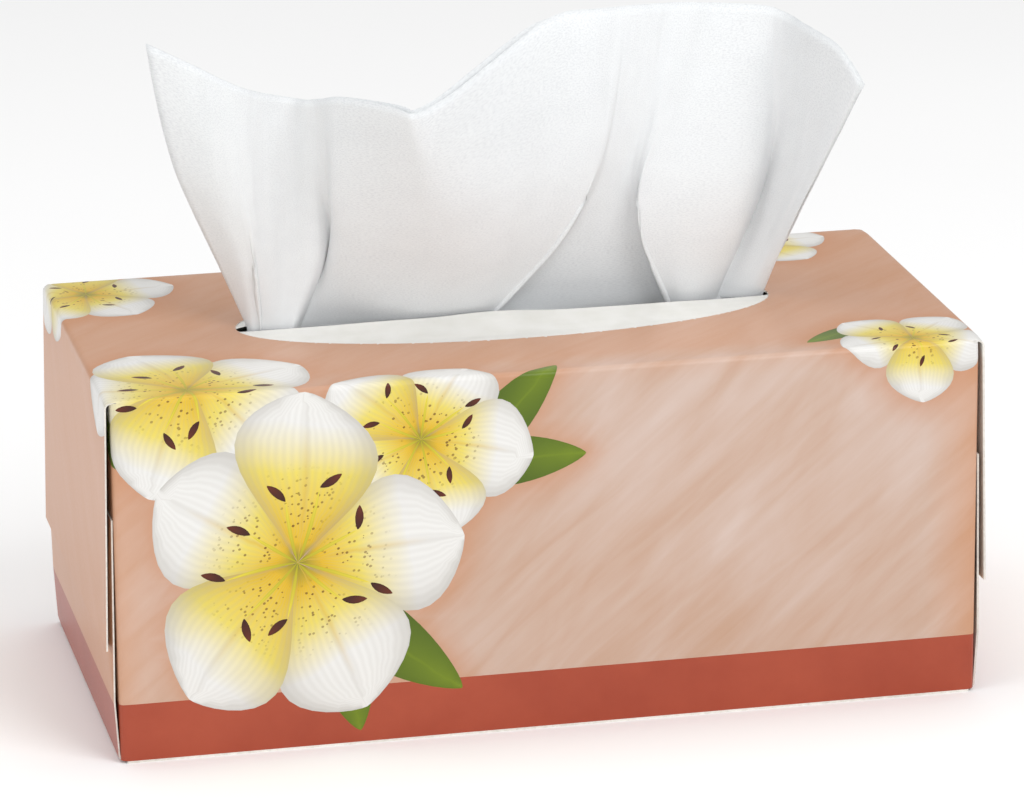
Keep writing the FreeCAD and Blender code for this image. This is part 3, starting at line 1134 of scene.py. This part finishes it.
    def build(self, materials: dict[Ink, bpy.types.Material]) -> bpy.types.Object:
        """Print, cut and fold the carton.

        Args:
            materials: the finish of each printed field and bare face.

        Returns:
            The carton's object.
        """
        stacked = self.stack_fields()
        flat, triangles = self.mesh_blank()
        printed = []
        for triangle in triangles:
            middle = (sum(flat[i][0] for i in triangle) / 3, sum(flat[i][1] for i in triangle) / 3)
            printed.append(self.ink_at(middle, stacked))
        used = sorted({i for triangle in triangles for i in triangle})
        order = {old: new for new, old in enumerate(used)}
        count = len(used)
        outer = [self.place(*flat[i], 0.0) for i in used]
        inner = [self.place(*flat[i], self.board) for i in used]
        faces, inks, petal_places = [], [], []
        rim: dict[tuple[int, int], None] = {}
        for triangle, (ink, shape) in zip(triangles, printed):
            a, b, c = (order[i] for i in triangle)
            faces.append((a, b, c))
            inks.append(ink)
            petal_places.append([shape.local(flat[i]) if shape else OFF_PETAL for i in triangle])
            for start, end in ((a, b), (b, c), (c, a)):
                if (end, start) in rim:
                    del rim[(end, start)]
                else:
                    rim[(start, end)] = None
        faces += [(c + count, b + count, a + count) for a, b, c in faces]
        faces += [(b, a, a + count, b + count) for a, b in rim]
        board = make_piece("printed_carton", outer + inner, faces, [materials[ink] for ink in Ink])
        blank = [flat[i] for i in used]
        self.map_print(board.data, blank, petal_places, inks)
        self.map_glow(board.data, blank)
        board.data.set_sharp_from_angle(angle=math.radians(self.sharp_above))
        LOG.info("printed_carton: %d printed fields", len(self.fields))
        return board

    def map_print(self, mesh: bpy.types.Mesh, blank: list[Point], petal_places: list,
                  inks: list[Ink]) -> None:
        """Give the carton its print, petal and bake coordinates and its inks.

        Args:
            mesh: the carton's mesh, whose printed faces come first.
            blank: the places of one skin's points on the blank.
            petal_places: the places of each printed face's corners in its field.
            inks: the ink of each printed face.
        """
        sheet = max(self.blank_end, 2 * (self.upper_face + self.upper_flap)) * self.bake_share
        for name in (PRINT_UV, PETAL_UV, BAKE_UV):
            mesh.uv_layers.new(name=name)
        print_map = mesh.uv_layers[PRINT_UV].data
        petal_map = mesh.uv_layers[PETAL_UV].data
        bake_map = mesh.uv_layers[BAKE_UV].data
        for polygon in mesh.polygons:
            number = polygon.index
            outside = number < len(inks)
            polygon.material_index = inks[number].value if outside else Ink.RAW.value
            middle, foot, scale = self.bake_outside if outside else self.bake_inside
            for corner, loop in enumerate(polygon.loop_indices):
                x, w = blank[mesh.loops[loop].vertex_index % len(blank)]
                print_map[loop].uv = (x, w)
                petal_map[loop].uv = petal_places[number][corner] if outside else OFF_PETAL
                bake_map[loop].uv = (middle + scale * x / sheet, foot + scale * w / sheet)

    def map_glow(self, mesh: bpy.types.Mesh, blank: list[Point]) -> None:
        """Store how near each point lies to a printed blossom or leaf.

        Args:
            mesh: the carton's mesh.
            blank: the places of one skin's points on the blank.
        """
        glowing = (Ink.PETAL, Ink.PETAL_WARM, Ink.LEAF)
        edges = [point for shape in self.fields if shape.ink in glowing for point in shape.outline()]
        tree = kdtree.KDTree(len(edges))
        for number, point in enumerate(edges):
            tree.insert((*point, 0.0), number)
        tree.balance()
        glow = mesh.attributes.new(GLOW, "FLOAT", "POINT")
        for index, vertex in enumerate(glow.data):
            x, w = blank[index % len(blank)]
            distance = tree.find((x, w, 0.0))[2]
            vertex.value = max(0.0, 1 - distance / self.glow_reach) ** 1.5


def garden(carton: Carton) -> list[PrintShape]:
    """Lay out the carton's generic blossoms and leaves on the flat blank.

    Args:
        carton: the carton whose panels they lie on.

    Returns:
        The printed fields, the lowest first.
    """
    top = carton.top_from
    back = carton.back_from
    cluster = [
        Sprig((-62 * MM, 46 * MM), (-48, -68, 2), 50 * MM, 17 * MM),
        Sprig((-88 * MM, 78 * MM), (158, 120), 44 * MM, 15 * MM),
        Sprig((-28 * MM, 70 * MM), (38, 12), 42 * MM, 13 * MM),
        Blossom((-92 * MM, top + 6 * MM), 36 * MM, 0.5, tilt=0.9),
        Blossom((-34 * MM, 80 * MM), 30 * MM, 1.1, tilt=0.85),
        Blossom((-66 * MM, 50 * MM), 43 * MM, 0.15),
    ]
    corner = [
        Sprig((92 * MM, top + 20 * MM), (200, 235), 26 * MM, 8 * MM),
        Blossom((96 * MM, top + 6 * MM), 21 * MM, 0.9, stamens=7),
        Blossom((-104 * MM, back - 14 * MM), 24 * MM, 0.2, stamens=7),
        Blossom((78 * MM, back - 8 * MM), 22 * MM, 1.4, stamens=7),
    ]
    rear = [
        Sprig((58 * MM, back + 52 * MM), (210, 250, 330), 46 * MM, 15 * MM),
        Blossom((84 * MM, back + 30 * MM), 30 * MM, 0.7),
        Blossom((52 * MM, back + 50 * MM), 40 * MM, 0.3),
    ]
    shapes = []
    for motif in (*cluster, *corner, *rear):
        shapes += motif.shapes()
    return shapes


# The raised tissue's fold lines, left to right. Each has its place at the slit, low, high and at
# the top edge, sideways and from front to back, in hundredths of the half slit, the half tissue
# and the wave. The top edge's last number is its height, in hundredths of the pull.
FOLD_LINES: tuple[tuple, ...] = (
    ((-94, 55), (-74, 25), (-83, 32), (-86, 28, 100)),
    ((-94, -50), (-68, -3), (-74, 6), (-77, 20, 94)),
    ((-90, -65), (-63, -13), (-65, -7), (-66, 4, 86)),
    ((-85, -70), (-59, -6), (-60, 5), (-59, 14, 82)),
    ((-81, -70), (-53, 6), (-52, 18), (-52, 21, 79)),
    ((-78, -70), (-46, -3), (-48, 7), (-49, 6, 79)),
    ((-74, 45), (-42, 7), (-44, 0), (-46, -5, 80)),
    ((-59, 20), (-42, -18), (-43, -27), (-42, -32, 83)),
    ((-40, -55), (-28, -39), (-29, -62), (-32, -86, 84)),
    ((-26, -70), (-16, -50), (-19, -79), (-25, -100, 82)),
    ((-15, -70), (-3, -52), (-2, -51), (0, -14, 94)),
    ((-10, -70), (7, -39), (14, -10), (15, 29, 102)),
    ((-7, -65), (19, -19), (28, 10), (31, 44, 102)),
    ((3, 45), (21, 3), (31, 15), (35, 46, 102)),
    ((31, 65), (27, 10), (35, 18), (39, 47, 102)),
    ((64, 60), (31, 6), (38, 19), (43, 48, 102)),
    ((61, -20), (31, -12), (43, 19), (48, 48, 102)),
    ((68, -60), (45, -18), (53, 18), (59, 46, 101)),
    ((77, -15), (61, -7), (68, 19), (69, 36, 100)),
    ((81, 60), (67, 21), (72, 21), (73, 24, 98)),
    ((89, 5), (70, -8), (76, -15), (76, -21, 96)),
    ((94, -20), (71, -26), (78, -50), (81, -64, 92)),
    ((97, 20), (71, -31), (77, -65), (84, -96, 82)),
)


# The fold lines that are creased sharply, counted from 0 at the left.
CRISP_FOLDS = (2, 6, 12, 16, 19)

# How the tissue turns up from the stack: how far it has drawn in to the slit, and how far
# behind the slit and how high it is, in bend radii.
BEND_STEPS = ((0.0, 2.0, 0.0), (0.15, 0.8, 0.3), (0.4, 0.1, 1.2))


@dataclass
class RaisedTissue:
    """The tissue that stands in the slit, as two creped plies on one folded surface."""

    top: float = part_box("carton")[1][2]
    stack_top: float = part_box("tissue_stack")[1][2]
    width: float = 212 * MM
    sheet_length: float = 200 * MM
    slit: Point = (144 * MM, 15 * MM)
    pull: float = 75 * MM
    wave: float = 28 * MM
    lie: float = 46 * MM
    bend: float = 6 * MM
    loop: float = 4 * MM
    lip: float = 1.8 * MM
    rest_gap: float = 0.95 * MM
    fold_reach: float = 0.2
    crease_end: int = 11
    thickness: float = 0.12 * MM
    ply_gap: float = 0.5 * MM
    peel: float = 4.5 * MM
    across_steps: int = 240
    hidden_steps: int = 44
    along_steps: int = 108
    hidden_share: float = 0.7
    peel_middle: float = 0.47
    peel_reach: float = 0.16
    peel_from: float = 0.45
    crease_fade: float = 0.33
    fan_height: float = 0.75 * MM
    fine_height: float = 0.16 * MM
    flutter_height: float = 0.5 * MM

    def places(self) -> list[float]:
        """Find each fold line's place across the flat tissue.

        Returns:
            The places, from -1 to 1, spaced as along the top edge.
        """
        heads = [Vector((line[3][0], line[3][1] * 2 * self.wave / self.width)) for line in FOLD_LINES]
        travel = [0.0]
        for head, following in zip(heads, heads[1:]):
            travel.append(travel[-1] + (following - head).length)
        return [2 * distance / travel[-1] - 1 for distance in travel]

    def line_points(self, line: tuple, place: float) -> list[Vector]:
        """Follow one fold line from its end on the stack up to the top edge.

        Args:
            line: its shares at the slit, low down, high up and at the top edge.
            place: its place across the flat tissue, from -1 to 1.

        Returns:
            The points that steer its curve.
        """
        (slit_x, slit_y), low, high, head = line
        x = slit_x / 100 * self.slit[0] / 2
        y = slit_y / 100 * self.slit[1] / 2 * math.sqrt(1 - (slit_x / 100) ** 2)
        half, rise, rest = self.width / 2, self.pull * head[2] / 100, self.stack_top + self.rest_gap
        over, spread = rest + self.loop, place * half
        hidden_end = 2 * self.lie - self.sheet_length + self.pull + self.top - self.stack_top
        points = [
            (spread, hidden_end, rest),
            (spread, self.lie - self.bend, rest),
            (spread, self.lie, rest),
            (spread, self.lie, over),
            (spread, self.lie - self.bend, over),
        ]
        for drawn_in, behind, risen in BEND_STEPS:
            across = spread + (x - spread) * drawn_in
            points.append((across, y + behind * self.bend, over + risen * self.bend))
        points += [(x, y, self.top - self.lip), (x, y, self.top)]
        for number, shares in enumerate((low, high, head), start=1):
            points.append((shares[0] / 100 * half, shares[1] / 100 * self.wave, self.top + rise * number / 3))
        return [Vector(point) for point in points]

    def crease(self, lines: list[list[Vector]]) -> list[list[Vector]]:
        """Double the sharp folds' lines up to where their creases fade out.

        Args:
            lines: every fold line's points.

        Returns:
            The lines, with the sharp folds' ones twice.
        """
        doubled = []
        for number, line in enumerate(lines):
            if number not in CRISP_FOLDS:
                doubled.append(line)
                continue
            for neighbour in (lines[number - 1], lines[number + 1]):
                pairs = zip(line[self.crease_end:], neighbour[self.crease_end:])
                faded = [point.lerp(beside, self.crease_fade) for point, beside in pairs]
                doubled.append(line[:self.crease_end] + faded)
        return doubled

    def overdraw(self, lines: list[list[Vector]]) -> list[list[Vector]]:
        """Push each fold line away from its neighbours, to make up for the smoothing between them.

        Args:
            lines: every fold line's points.

        Returns:
            The lines in their new places.
        """
        drawn = [lines[0]]
        for before, line, after in zip(lines, lines[1:], lines[2:]):
            drawn.append([q + (q - (p + r) / 2) * self.fold_reach for p, q, r in zip(before, line, after)])
        return drawn + [lines[-1]]

    @staticmethod
    def weights(count: int, share: float) -> tuple[int, tuple[float, float, float]]:
        """Find the three points that steer a place on a smooth curve.

        Args:
            count: the number of the curve's points.
            share: the place along the curve, from 0 to 1.

        Returns:
            The first of the three points, and the weights of all three.
        """
        spans = count - 2
        at = min(share * spans, spans - TINY)
        span = int(at)

        def knot(index: int) -> float:
            """Give a knot of the clamped, evenly spaced row."""
            return float(max(0, min(spans, index - 2)))

        low = span + 2
        left = [at - knot(low), at - knot(low - 1)]
        right = [knot(low + 1) - at, knot(low + 2) - at]
        first = right[0] / (right[0] + left[0])
        a = right[0] / (right[0] + left[1]) * first
        b = left[1] / (right[0] + left[1]) * first + right[1] / (right[1] + left[0]) * (1 - first)
        c = left[0] / (right[1] + left[0]) * (1 - first)
        return span, (a, b, c)

    def surface(self) -> list[list[Vector]]:
        """Span the smooth surface and add its fine wrinkles.

        Returns:
            The surface's points, row by row from left to right.
        """
        lines = []
        for line, place in zip(FOLD_LINES, self.places()):
            lines.append(self.line_points(line, place))
        lines = self.overdraw(self.crease(lines))
        rows = []
        for i in range(self.across_steps + 1):
            share = i / self.across_steps
            curve = [self.blend(steers, share) for steers in zip(*lines)]
            rows.append([self.blend(curve, self.spacing(j)) for j in range(self.along_steps + 1)])
        return self.wrinkle(rows)

    def blend(self, steers: list[Vector], share: float) -> Vector:
        """Give the point at a share, from 0 to 1, along the smooth curve that some points steer."""
        first, (a, b, c) = self.weights(len(steers), share)
        return steers[first] * a + steers[first + 1] * b + steers[first + 2] * c

    def spacing(self, step: int) -> float:
        """Crowd the rows into the standing part, which shows.

        Args:
            step: the row's number, from the tissue's hidden end.

        Returns:
            Its place along the fold lines, from 0 to 1.
        """
        if step <= self.hidden_steps:
            return step / self.hidden_steps * self.hidden_share
        shown = (step - self.hidden_steps) / (self.along_steps - self.hidden_steps)
        return self.hidden_share + (1 - self.hidden_share) * shown

    def wrinkle(self, rows: list[list[Vector]]) -> list[list[Vector]]:
        """Add soft creases that fan up from the slit and a faint flutter at the top edge.

        Args:
            rows: the smooth surface's points.

        Returns:
            The wrinkled surface's points.
        """
        normals = self.normals(rows)
        made = []
        for i, row in enumerate(rows):
            across = i / self.across_steps
            line = []
            for j, point in enumerate(row):
                rise = max(0.0, (point.z - self.top) / self.pull)
                fan = noise.noise(Vector((across * 34.0, rise * 2.2, 3.0)))
                fine = noise.noise(Vector((across * 85.0, rise * 7.0, 9.0)))
                flutter = noise.noise(Vector((across * 22.0, 5.0, rise * 3.0)))
                grow = min(1.0, rise * 3.0)
                height = self.fan_height * fan * (1.1 - rise) + self.fine_height * fine
                height += self.flutter_height * flutter * rise ** 3
                line.append(point + normals[i][j] * grow * height)
            made.append(line)
        return made

    def normals(self, rows: list[list[Vector]]) -> list[list[Vector]]:
        """Give the surface's normals, towards the tissue's rear.

        Args:
            rows: the surface's points.

        Returns:
            One normal for each point.
        """
        last_row, last_point = len(rows) - 1, len(rows[0]) - 1
        normals = []
        for i, row in enumerate(rows):
            line = []
            for j in range(last_point + 1):
                along = row[min(j + 1, last_point)] - row[max(j - 1, 0)]
                across = rows[min(i + 1, last_row)][j] - rows[max(i - 1, 0)][j]
                line.append(along.cross(across).normalized())
            normals.append(line)
        return normals

    def offset(self, across: float, rise: float) -> float:
        """Give the gap between the plies, which part at the top edge left of the middle.

        Args:
            across: the place across the tissue, from 0 to 1.
            rise: the height above the carton, as a share of the pull.

        Returns:
            The distance from the near ply's middle to the far ply's.
        """
        reach = max(0.0, 1 - ((across - self.peel_middle) / self.peel_reach) ** 2)
        height = max(0.0, (rise - self.peel_from) / (1 - self.peel_from))
        return self.ply_gap + self.thickness + self.peel * reach ** 2 * height ** 2

    def build(self, name: str, rear: bool, material: bpy.types.Material) -> bpy.types.Object:
        """Make one ply as a closed, thin mesh.

        Args:
            name: the ply's name.
            rear: whether it is the far ply.
            material: its finish.

        Returns:
            The ply's object.
        """
        rows = self.surface()
        normals = self.normals(rows)
        skins = []
        for side in (-0.5, 0.5):
            skin = []
            for i, row in enumerate(rows):
                for j, point in enumerate(row):
                    shift = side * self.thickness
                    if rear:
                        rise = max(0.0, (point.z - self.top) / self.pull)
                        shift += self.offset(i / self.across_steps, rise)
                    skin.append(point + normals[i][j] * shift)
            skins.append(skin)
        wide, high = self.across_steps + 1, self.along_steps + 1
        count = wide * high
        faces = []
        for i in range(wide - 1):
            for j in range(high - 1):
                a, b = i * high + j, (i + 1) * high + j
                faces.append((a, b, b + 1, a + 1))
                faces.append((a + 1 + count, b + 1 + count, b + count, a + count))
        rim = [(i * high, (i + 1) * high) for i in range(wide - 1)]
        rim += [((wide - 1) * high + j, (wide - 1) * high + j + 1) for j in range(high - 1)]
        rim += [((i + 1) * high + high - 1, i * high + high - 1) for i in range(wide - 1)]
        rim += [(j + 1, j) for j in range(high - 1)]
        faces += [(b, a, a + count, b + count) for a, b in rim]
        ply = make_piece(name, skins[0] + skins[1], faces, [material])
        sheet = ply.data.uv_layers.new(name="Sheet").data
        for loop in ply.data.loops:
            column, row = divmod(loop.vertex_index % count, high)
            sheet[loop.index].uv = (column / wide * self.width, row / high * self.sheet_length)
        return ply


@dataclass
class WindowFilm:
    """The film under the opening, whose slit is pushed open and up by the tissue."""

    length: float = 186 * MM
    width: float = 78 * MM
    thickness: float = 0.08 * MM
    slit: Point = (144 * MM, 15 * MM)
    top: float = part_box("window_film")[1][2]
    around_steps: int = 160
    out_steps: int = 26
    lip_rise: float = 2.3 * MM
    lip_reach: float = 2.2
    crowding: float = 1.6
    squareness: float = 12.0

    def lift(self, lip: Point) -> float:
        """Say how far the tissue pushes the slit's lip up, from 0 at its ends to 1."""
        return max(0.0, 1 - (2 * lip[0] / self.slit[0]) ** 2) ** 0.8

    def build(self, material: bpy.types.Material) -> bpy.types.Object:
        """Make the film as a closed, thin mesh.

        Args:
            material: its finish.

        Returns:
            The film's object.
        """
        skins = []
        for deep in (0.0, self.thickness):
            skin = []
            for i in range(self.around_steps):
                angle = 2 * math.pi * i / self.around_steps
                edge = rounded_edge(angle, self.length / 2, self.width / 2, self.squareness)
                lip = (math.cos(angle) * self.slit[0] / 2, math.sin(angle) * self.slit[1] / 2)
                for j in range(self.out_steps + 1):
                    share = (j / self.out_steps) ** self.crowding
                    x, y = (near + (far - near) * share for near, far in zip(lip, edge))
                    near = max(0.0, 1 - share * self.lip_reach)
                    wave = 1 + 0.35 * noise.noise(Vector((x * 45, y * 60, 2.0)))
                    z = self.top - deep + near ** 2 * self.lip_rise * wave * self.lift(lip)
                    skin.append(Vector((x, y, z)))
            skins.append(skin)
        ring = self.out_steps + 1
        count = self.around_steps * ring
        faces = []
        for i in range(self.around_steps):
            following = (i + 1) % self.around_steps
            for j in range(self.out_steps):
                a, b = i * ring + j, following * ring + j
                faces.append((a, a + 1, b + 1, b))
                faces.append((b + count, b + 1 + count, a + 1 + count, a + count))
            for j, turn in ((0, 1), (self.out_steps, -1)):
                a, b = i * ring + j, following * ring + j
                faces.append((a, b, b + count, a + count)[::turn])
        return make_piece("slit_film", skins[0] + skins[1], faces, [material])


@dataclass
class TissueStack:
    """The folded tissues that wait in the carton, with the rounded edge of every one."""

    box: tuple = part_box("tissue_stack")
    layers: int = 34
    groove: float = 0.7 * MM
    stray: float = 0.5 * MM
    around_steps: int = 128
    squareness: float = 40.0

    def edge(self, angle: float, inset: float) -> Point:
        """Find the stack's side, whose corners are worn.

        Args:
            angle: the direction from the stack's middle.
            inset: how far inside the stack's box it is.

        Returns:
            The side's point in that direction.
        """
        (x0, y0, _), (x1, y1, _) = self.box
        x, y = rounded_edge(angle, (x1 - x0) / 2 - inset, (y1 - y0) / 2 - inset, self.squareness)
        return (x0 + x1) / 2 + x, (y0 + y1) / 2 + y

    def build(self, material: bpy.types.Material) -> bpy.types.Object:
        """Make the stack as one closed mesh.

        Args:
            material: its finish.

        Returns:
            The stack's object.
        """
        low, high = self.box[0][2], self.box[1][2]
        layer_height = (high - low) / self.layers
        points = []
        for layer in range(self.layers):
            for share, inset in ((0.0, self.groove), (0.3, 0.0), (0.7, 0.0), (1.0, self.groove)):
                height = low + (layer + share) * layer_height
                for i in range(self.around_steps):
                    angle = 2 * math.pi * (i + 0.5) / self.around_steps
                    place = Vector((math.cos(angle) * 1.5, math.sin(angle) * 1.5, layer * 0.9))
                    inward = inset + self.stray * abs(noise.noise(place))
                    points.append(Vector((*self.edge(angle, inward), height)))
        ring = self.around_steps
        faces = []
        for first in range(0, len(points) - ring, ring):
            for i in range(ring):
                a, b = first + i, first + (i + 1) % ring
                faces.append((a, b, b + ring, a + ring))
        faces.append(tuple(reversed(range(ring))))
        faces.append(tuple(range(len(points) - ring, len(points))))
        return make_piece("folded_tissues", points, faces, [material], smooth=False)


@dataclass(frozen=True)
class Softbox:
    """A soft rectangular lamp that points at the box, in metres and watts."""

    name: str
    at: tuple[float, float, float]
    size: Point
    power: float
    aim: tuple[float, float, float] = (0.0, 0.0, 0.08)

    def build(self) -> None:
        """Add the lamp to the scene."""
        data = bpy.data.lights.new(self.name, "AREA")
        data.shape = "RECTANGLE"
        data.size, data.size_y = self.size
        data.energy = self.power
        lamp = bpy.data.objects.new(self.name, data)
        lamp.location = self.at
        way = Vector(self.aim) - Vector(self.at)
        lamp.rotation_euler = way.to_track_quat("-Z", "Y").to_euler()
        bpy.context.collection.objects.link(lamp)


SOFTBOXES = (
    Softbox("key_softbox", (0.75, -1.2, 1.35), (1.1, 1.1), 14.5),
    Softbox("overhead_softbox", (-0.1, 0.25, 1.7), (1.6, 1.2), 9.5),
    Softbox("left_fill", (-1.6, -0.5, 0.7), (0.9, 0.9), 5.0),
    Softbox("front_fill", (-0.35, -1.7, 0.45), (0.8, 0.6), 5.0),
)


@dataclass
class Studio:
    """A plain pale floor, soft lights and the camera at the photograph's angle."""

    azimuth: float = -12.35
    elevation: float = 17.1
    roll: float = -0.53
    camera_at: tuple[float, float, float] = (-0.292, -1.342, 0.493)
    focal_pixels: float = 5478.0
    picture_width: int = 1024
    sensor: float = 36.0
    clip: Point = (0.05, 20.0)
    room_light: float = 0.55
    floor_light: float = 0.965
    floor_reach: float = 3.0

    def camera(self) -> None:
        """Set up the camera."""
        a, e, r = (math.radians(angle) for angle in (self.azimuth, self.elevation, self.roll))
        back = Vector((math.sin(a) * math.cos(e), -math.cos(a) * math.cos(e), math.sin(e)))
        right = Vector((0, 0, 1)).cross(back).normalized()
        up = back.cross(right)
        x = right * math.cos(r) + up * math.sin(r)
        y = up * math.cos(r) - right * math.sin(r)
        data = bpy.data.cameras.new("photo_camera")
        data.sensor_width = self.sensor
        data.lens = self.focal_pixels / self.picture_width * self.sensor
        data.clip_start, data.clip_end = self.clip
        camera = bpy.data.objects.new("photo_camera", data)
        turn = Matrix((x, y, back)).transposed().to_4x4()
        camera.matrix_world = Matrix.Translation(Vector(self.camera_at)) @ turn
        bpy.context.collection.objects.link(camera)
        bpy.context.scene.camera = camera

    def backdrop(self) -> None:
        """Make the white world and the floor, which keeps the box's shadow."""
        graph = WorldGraph("white_room")
        white = (1.0, 1.0, 1.0, 1.0)
        light = graph.add("Background", {"Color": white, "Strength": self.room_light})
        seen = graph.add("Background", {"Color": white, "Strength": 1.0})
        path = graph.add("LightPath").outputs
        shown = graph.math("MAXIMUM", path["Is Camera Ray"], path["Is Transmission Ray"])
        both = graph.add("MixShader", {0: shown, 1: light.outputs[0], 2: seen.outputs[0]})
        graph.tree.links.new(both.outputs[0], graph.output.inputs["Surface"])
        graph = NodeGraph("floor_white")
        grain = graph.add("TexNoise", {"Scale": 30.0, "Detail": 2.0}).outputs["Fac"]
        tone = graph.ramp(grain, [(0.3, self.floor_light - 0.01), (0.7, self.floor_light)]).outputs[0]
        paint = graph.finish(graph.add("BsdfDiffuse", {"Color": tone}))
        reach = self.floor_reach
        corners = [(-reach, -reach, 0), (reach, -reach, 0), (reach, reach, 0), (-reach, reach, 0)]
        make_piece("floor", corners, [(0, 1, 2, 3)], [paint], smooth=False)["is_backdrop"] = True

    def build(self) -> None:
        """Set the whole studio up."""
        bpy.context.scene.view_settings.view_transform = "Standard"
        self.camera()
        for softbox in SOFTBOXES:
            softbox.build()
        self.backdrop()


def dress(piece: bpy.types.Object, node: str) -> None:
    """Let a piece stand for its node.

    Args:
        piece: the modelled piece.
        node: the node that it replaces.
    """
    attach(piece, BODY)
    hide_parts(node)


def plain_box(box: tuple) -> list[list[float]]:
    """Write a box's lowest and highest corners as plain lists."""
    return [[float(value) for value in corner] for corner in box]


def main(solid_box: list[list[float]]) -> None:
    """Build and dress every piece.

    Args:
        solid_box: the box of the solids, before anything is replaced; not used.
    """
    logging.basicConfig(level=logging.INFO)
    Studio().build()
    leaf = PlainInk("leaf_green", srgb(34, 62, 10), srgb(112, 132, 24), rib=0.5)
    stamen = PlainInk("stamen_yellow", srgb(166, 158, 20), srgb(226, 206, 70))
    anther = PlainInk("anther_brown", srgb(48, 18, 10), srgb(98, 38, 16))
    warm = PetalInk(name="petal_cream", warmth=0.16)
    inks = {
        Ink.GROUND: PeachGround().build(),
        Ink.BAND: BandInk().build(),
        Ink.PETAL: PetalInk().build(),
        Ink.PETAL_WARM: warm.build(),
        Ink.LEAF: leaf.build(),
        Ink.STAMEN: stamen.build(),
        Ink.ANTHER: anther.build(),
        Ink.RAW: RawBoard().build(),
    }
    carton = Carton()
    carton.fields = garden(carton)
    dress(carton.build(inks), "carton")
    dress(WindowFilm().build(MilkyFilmWithPaintedReflection().build()), "window_film")
    paper = TissuePaper().build()
    tissue = RaisedTissue()
    dress(tissue.build("creped_front_ply", False, paper), "front_ply")
    dress(tissue.build("creped_rear_ply", True, paper), "rear_ply")
    dress(TissueStack().build(StackedPaper().build()), "tissue_stack")


if __name__ == "__main__":
    main(plain_box(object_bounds()))
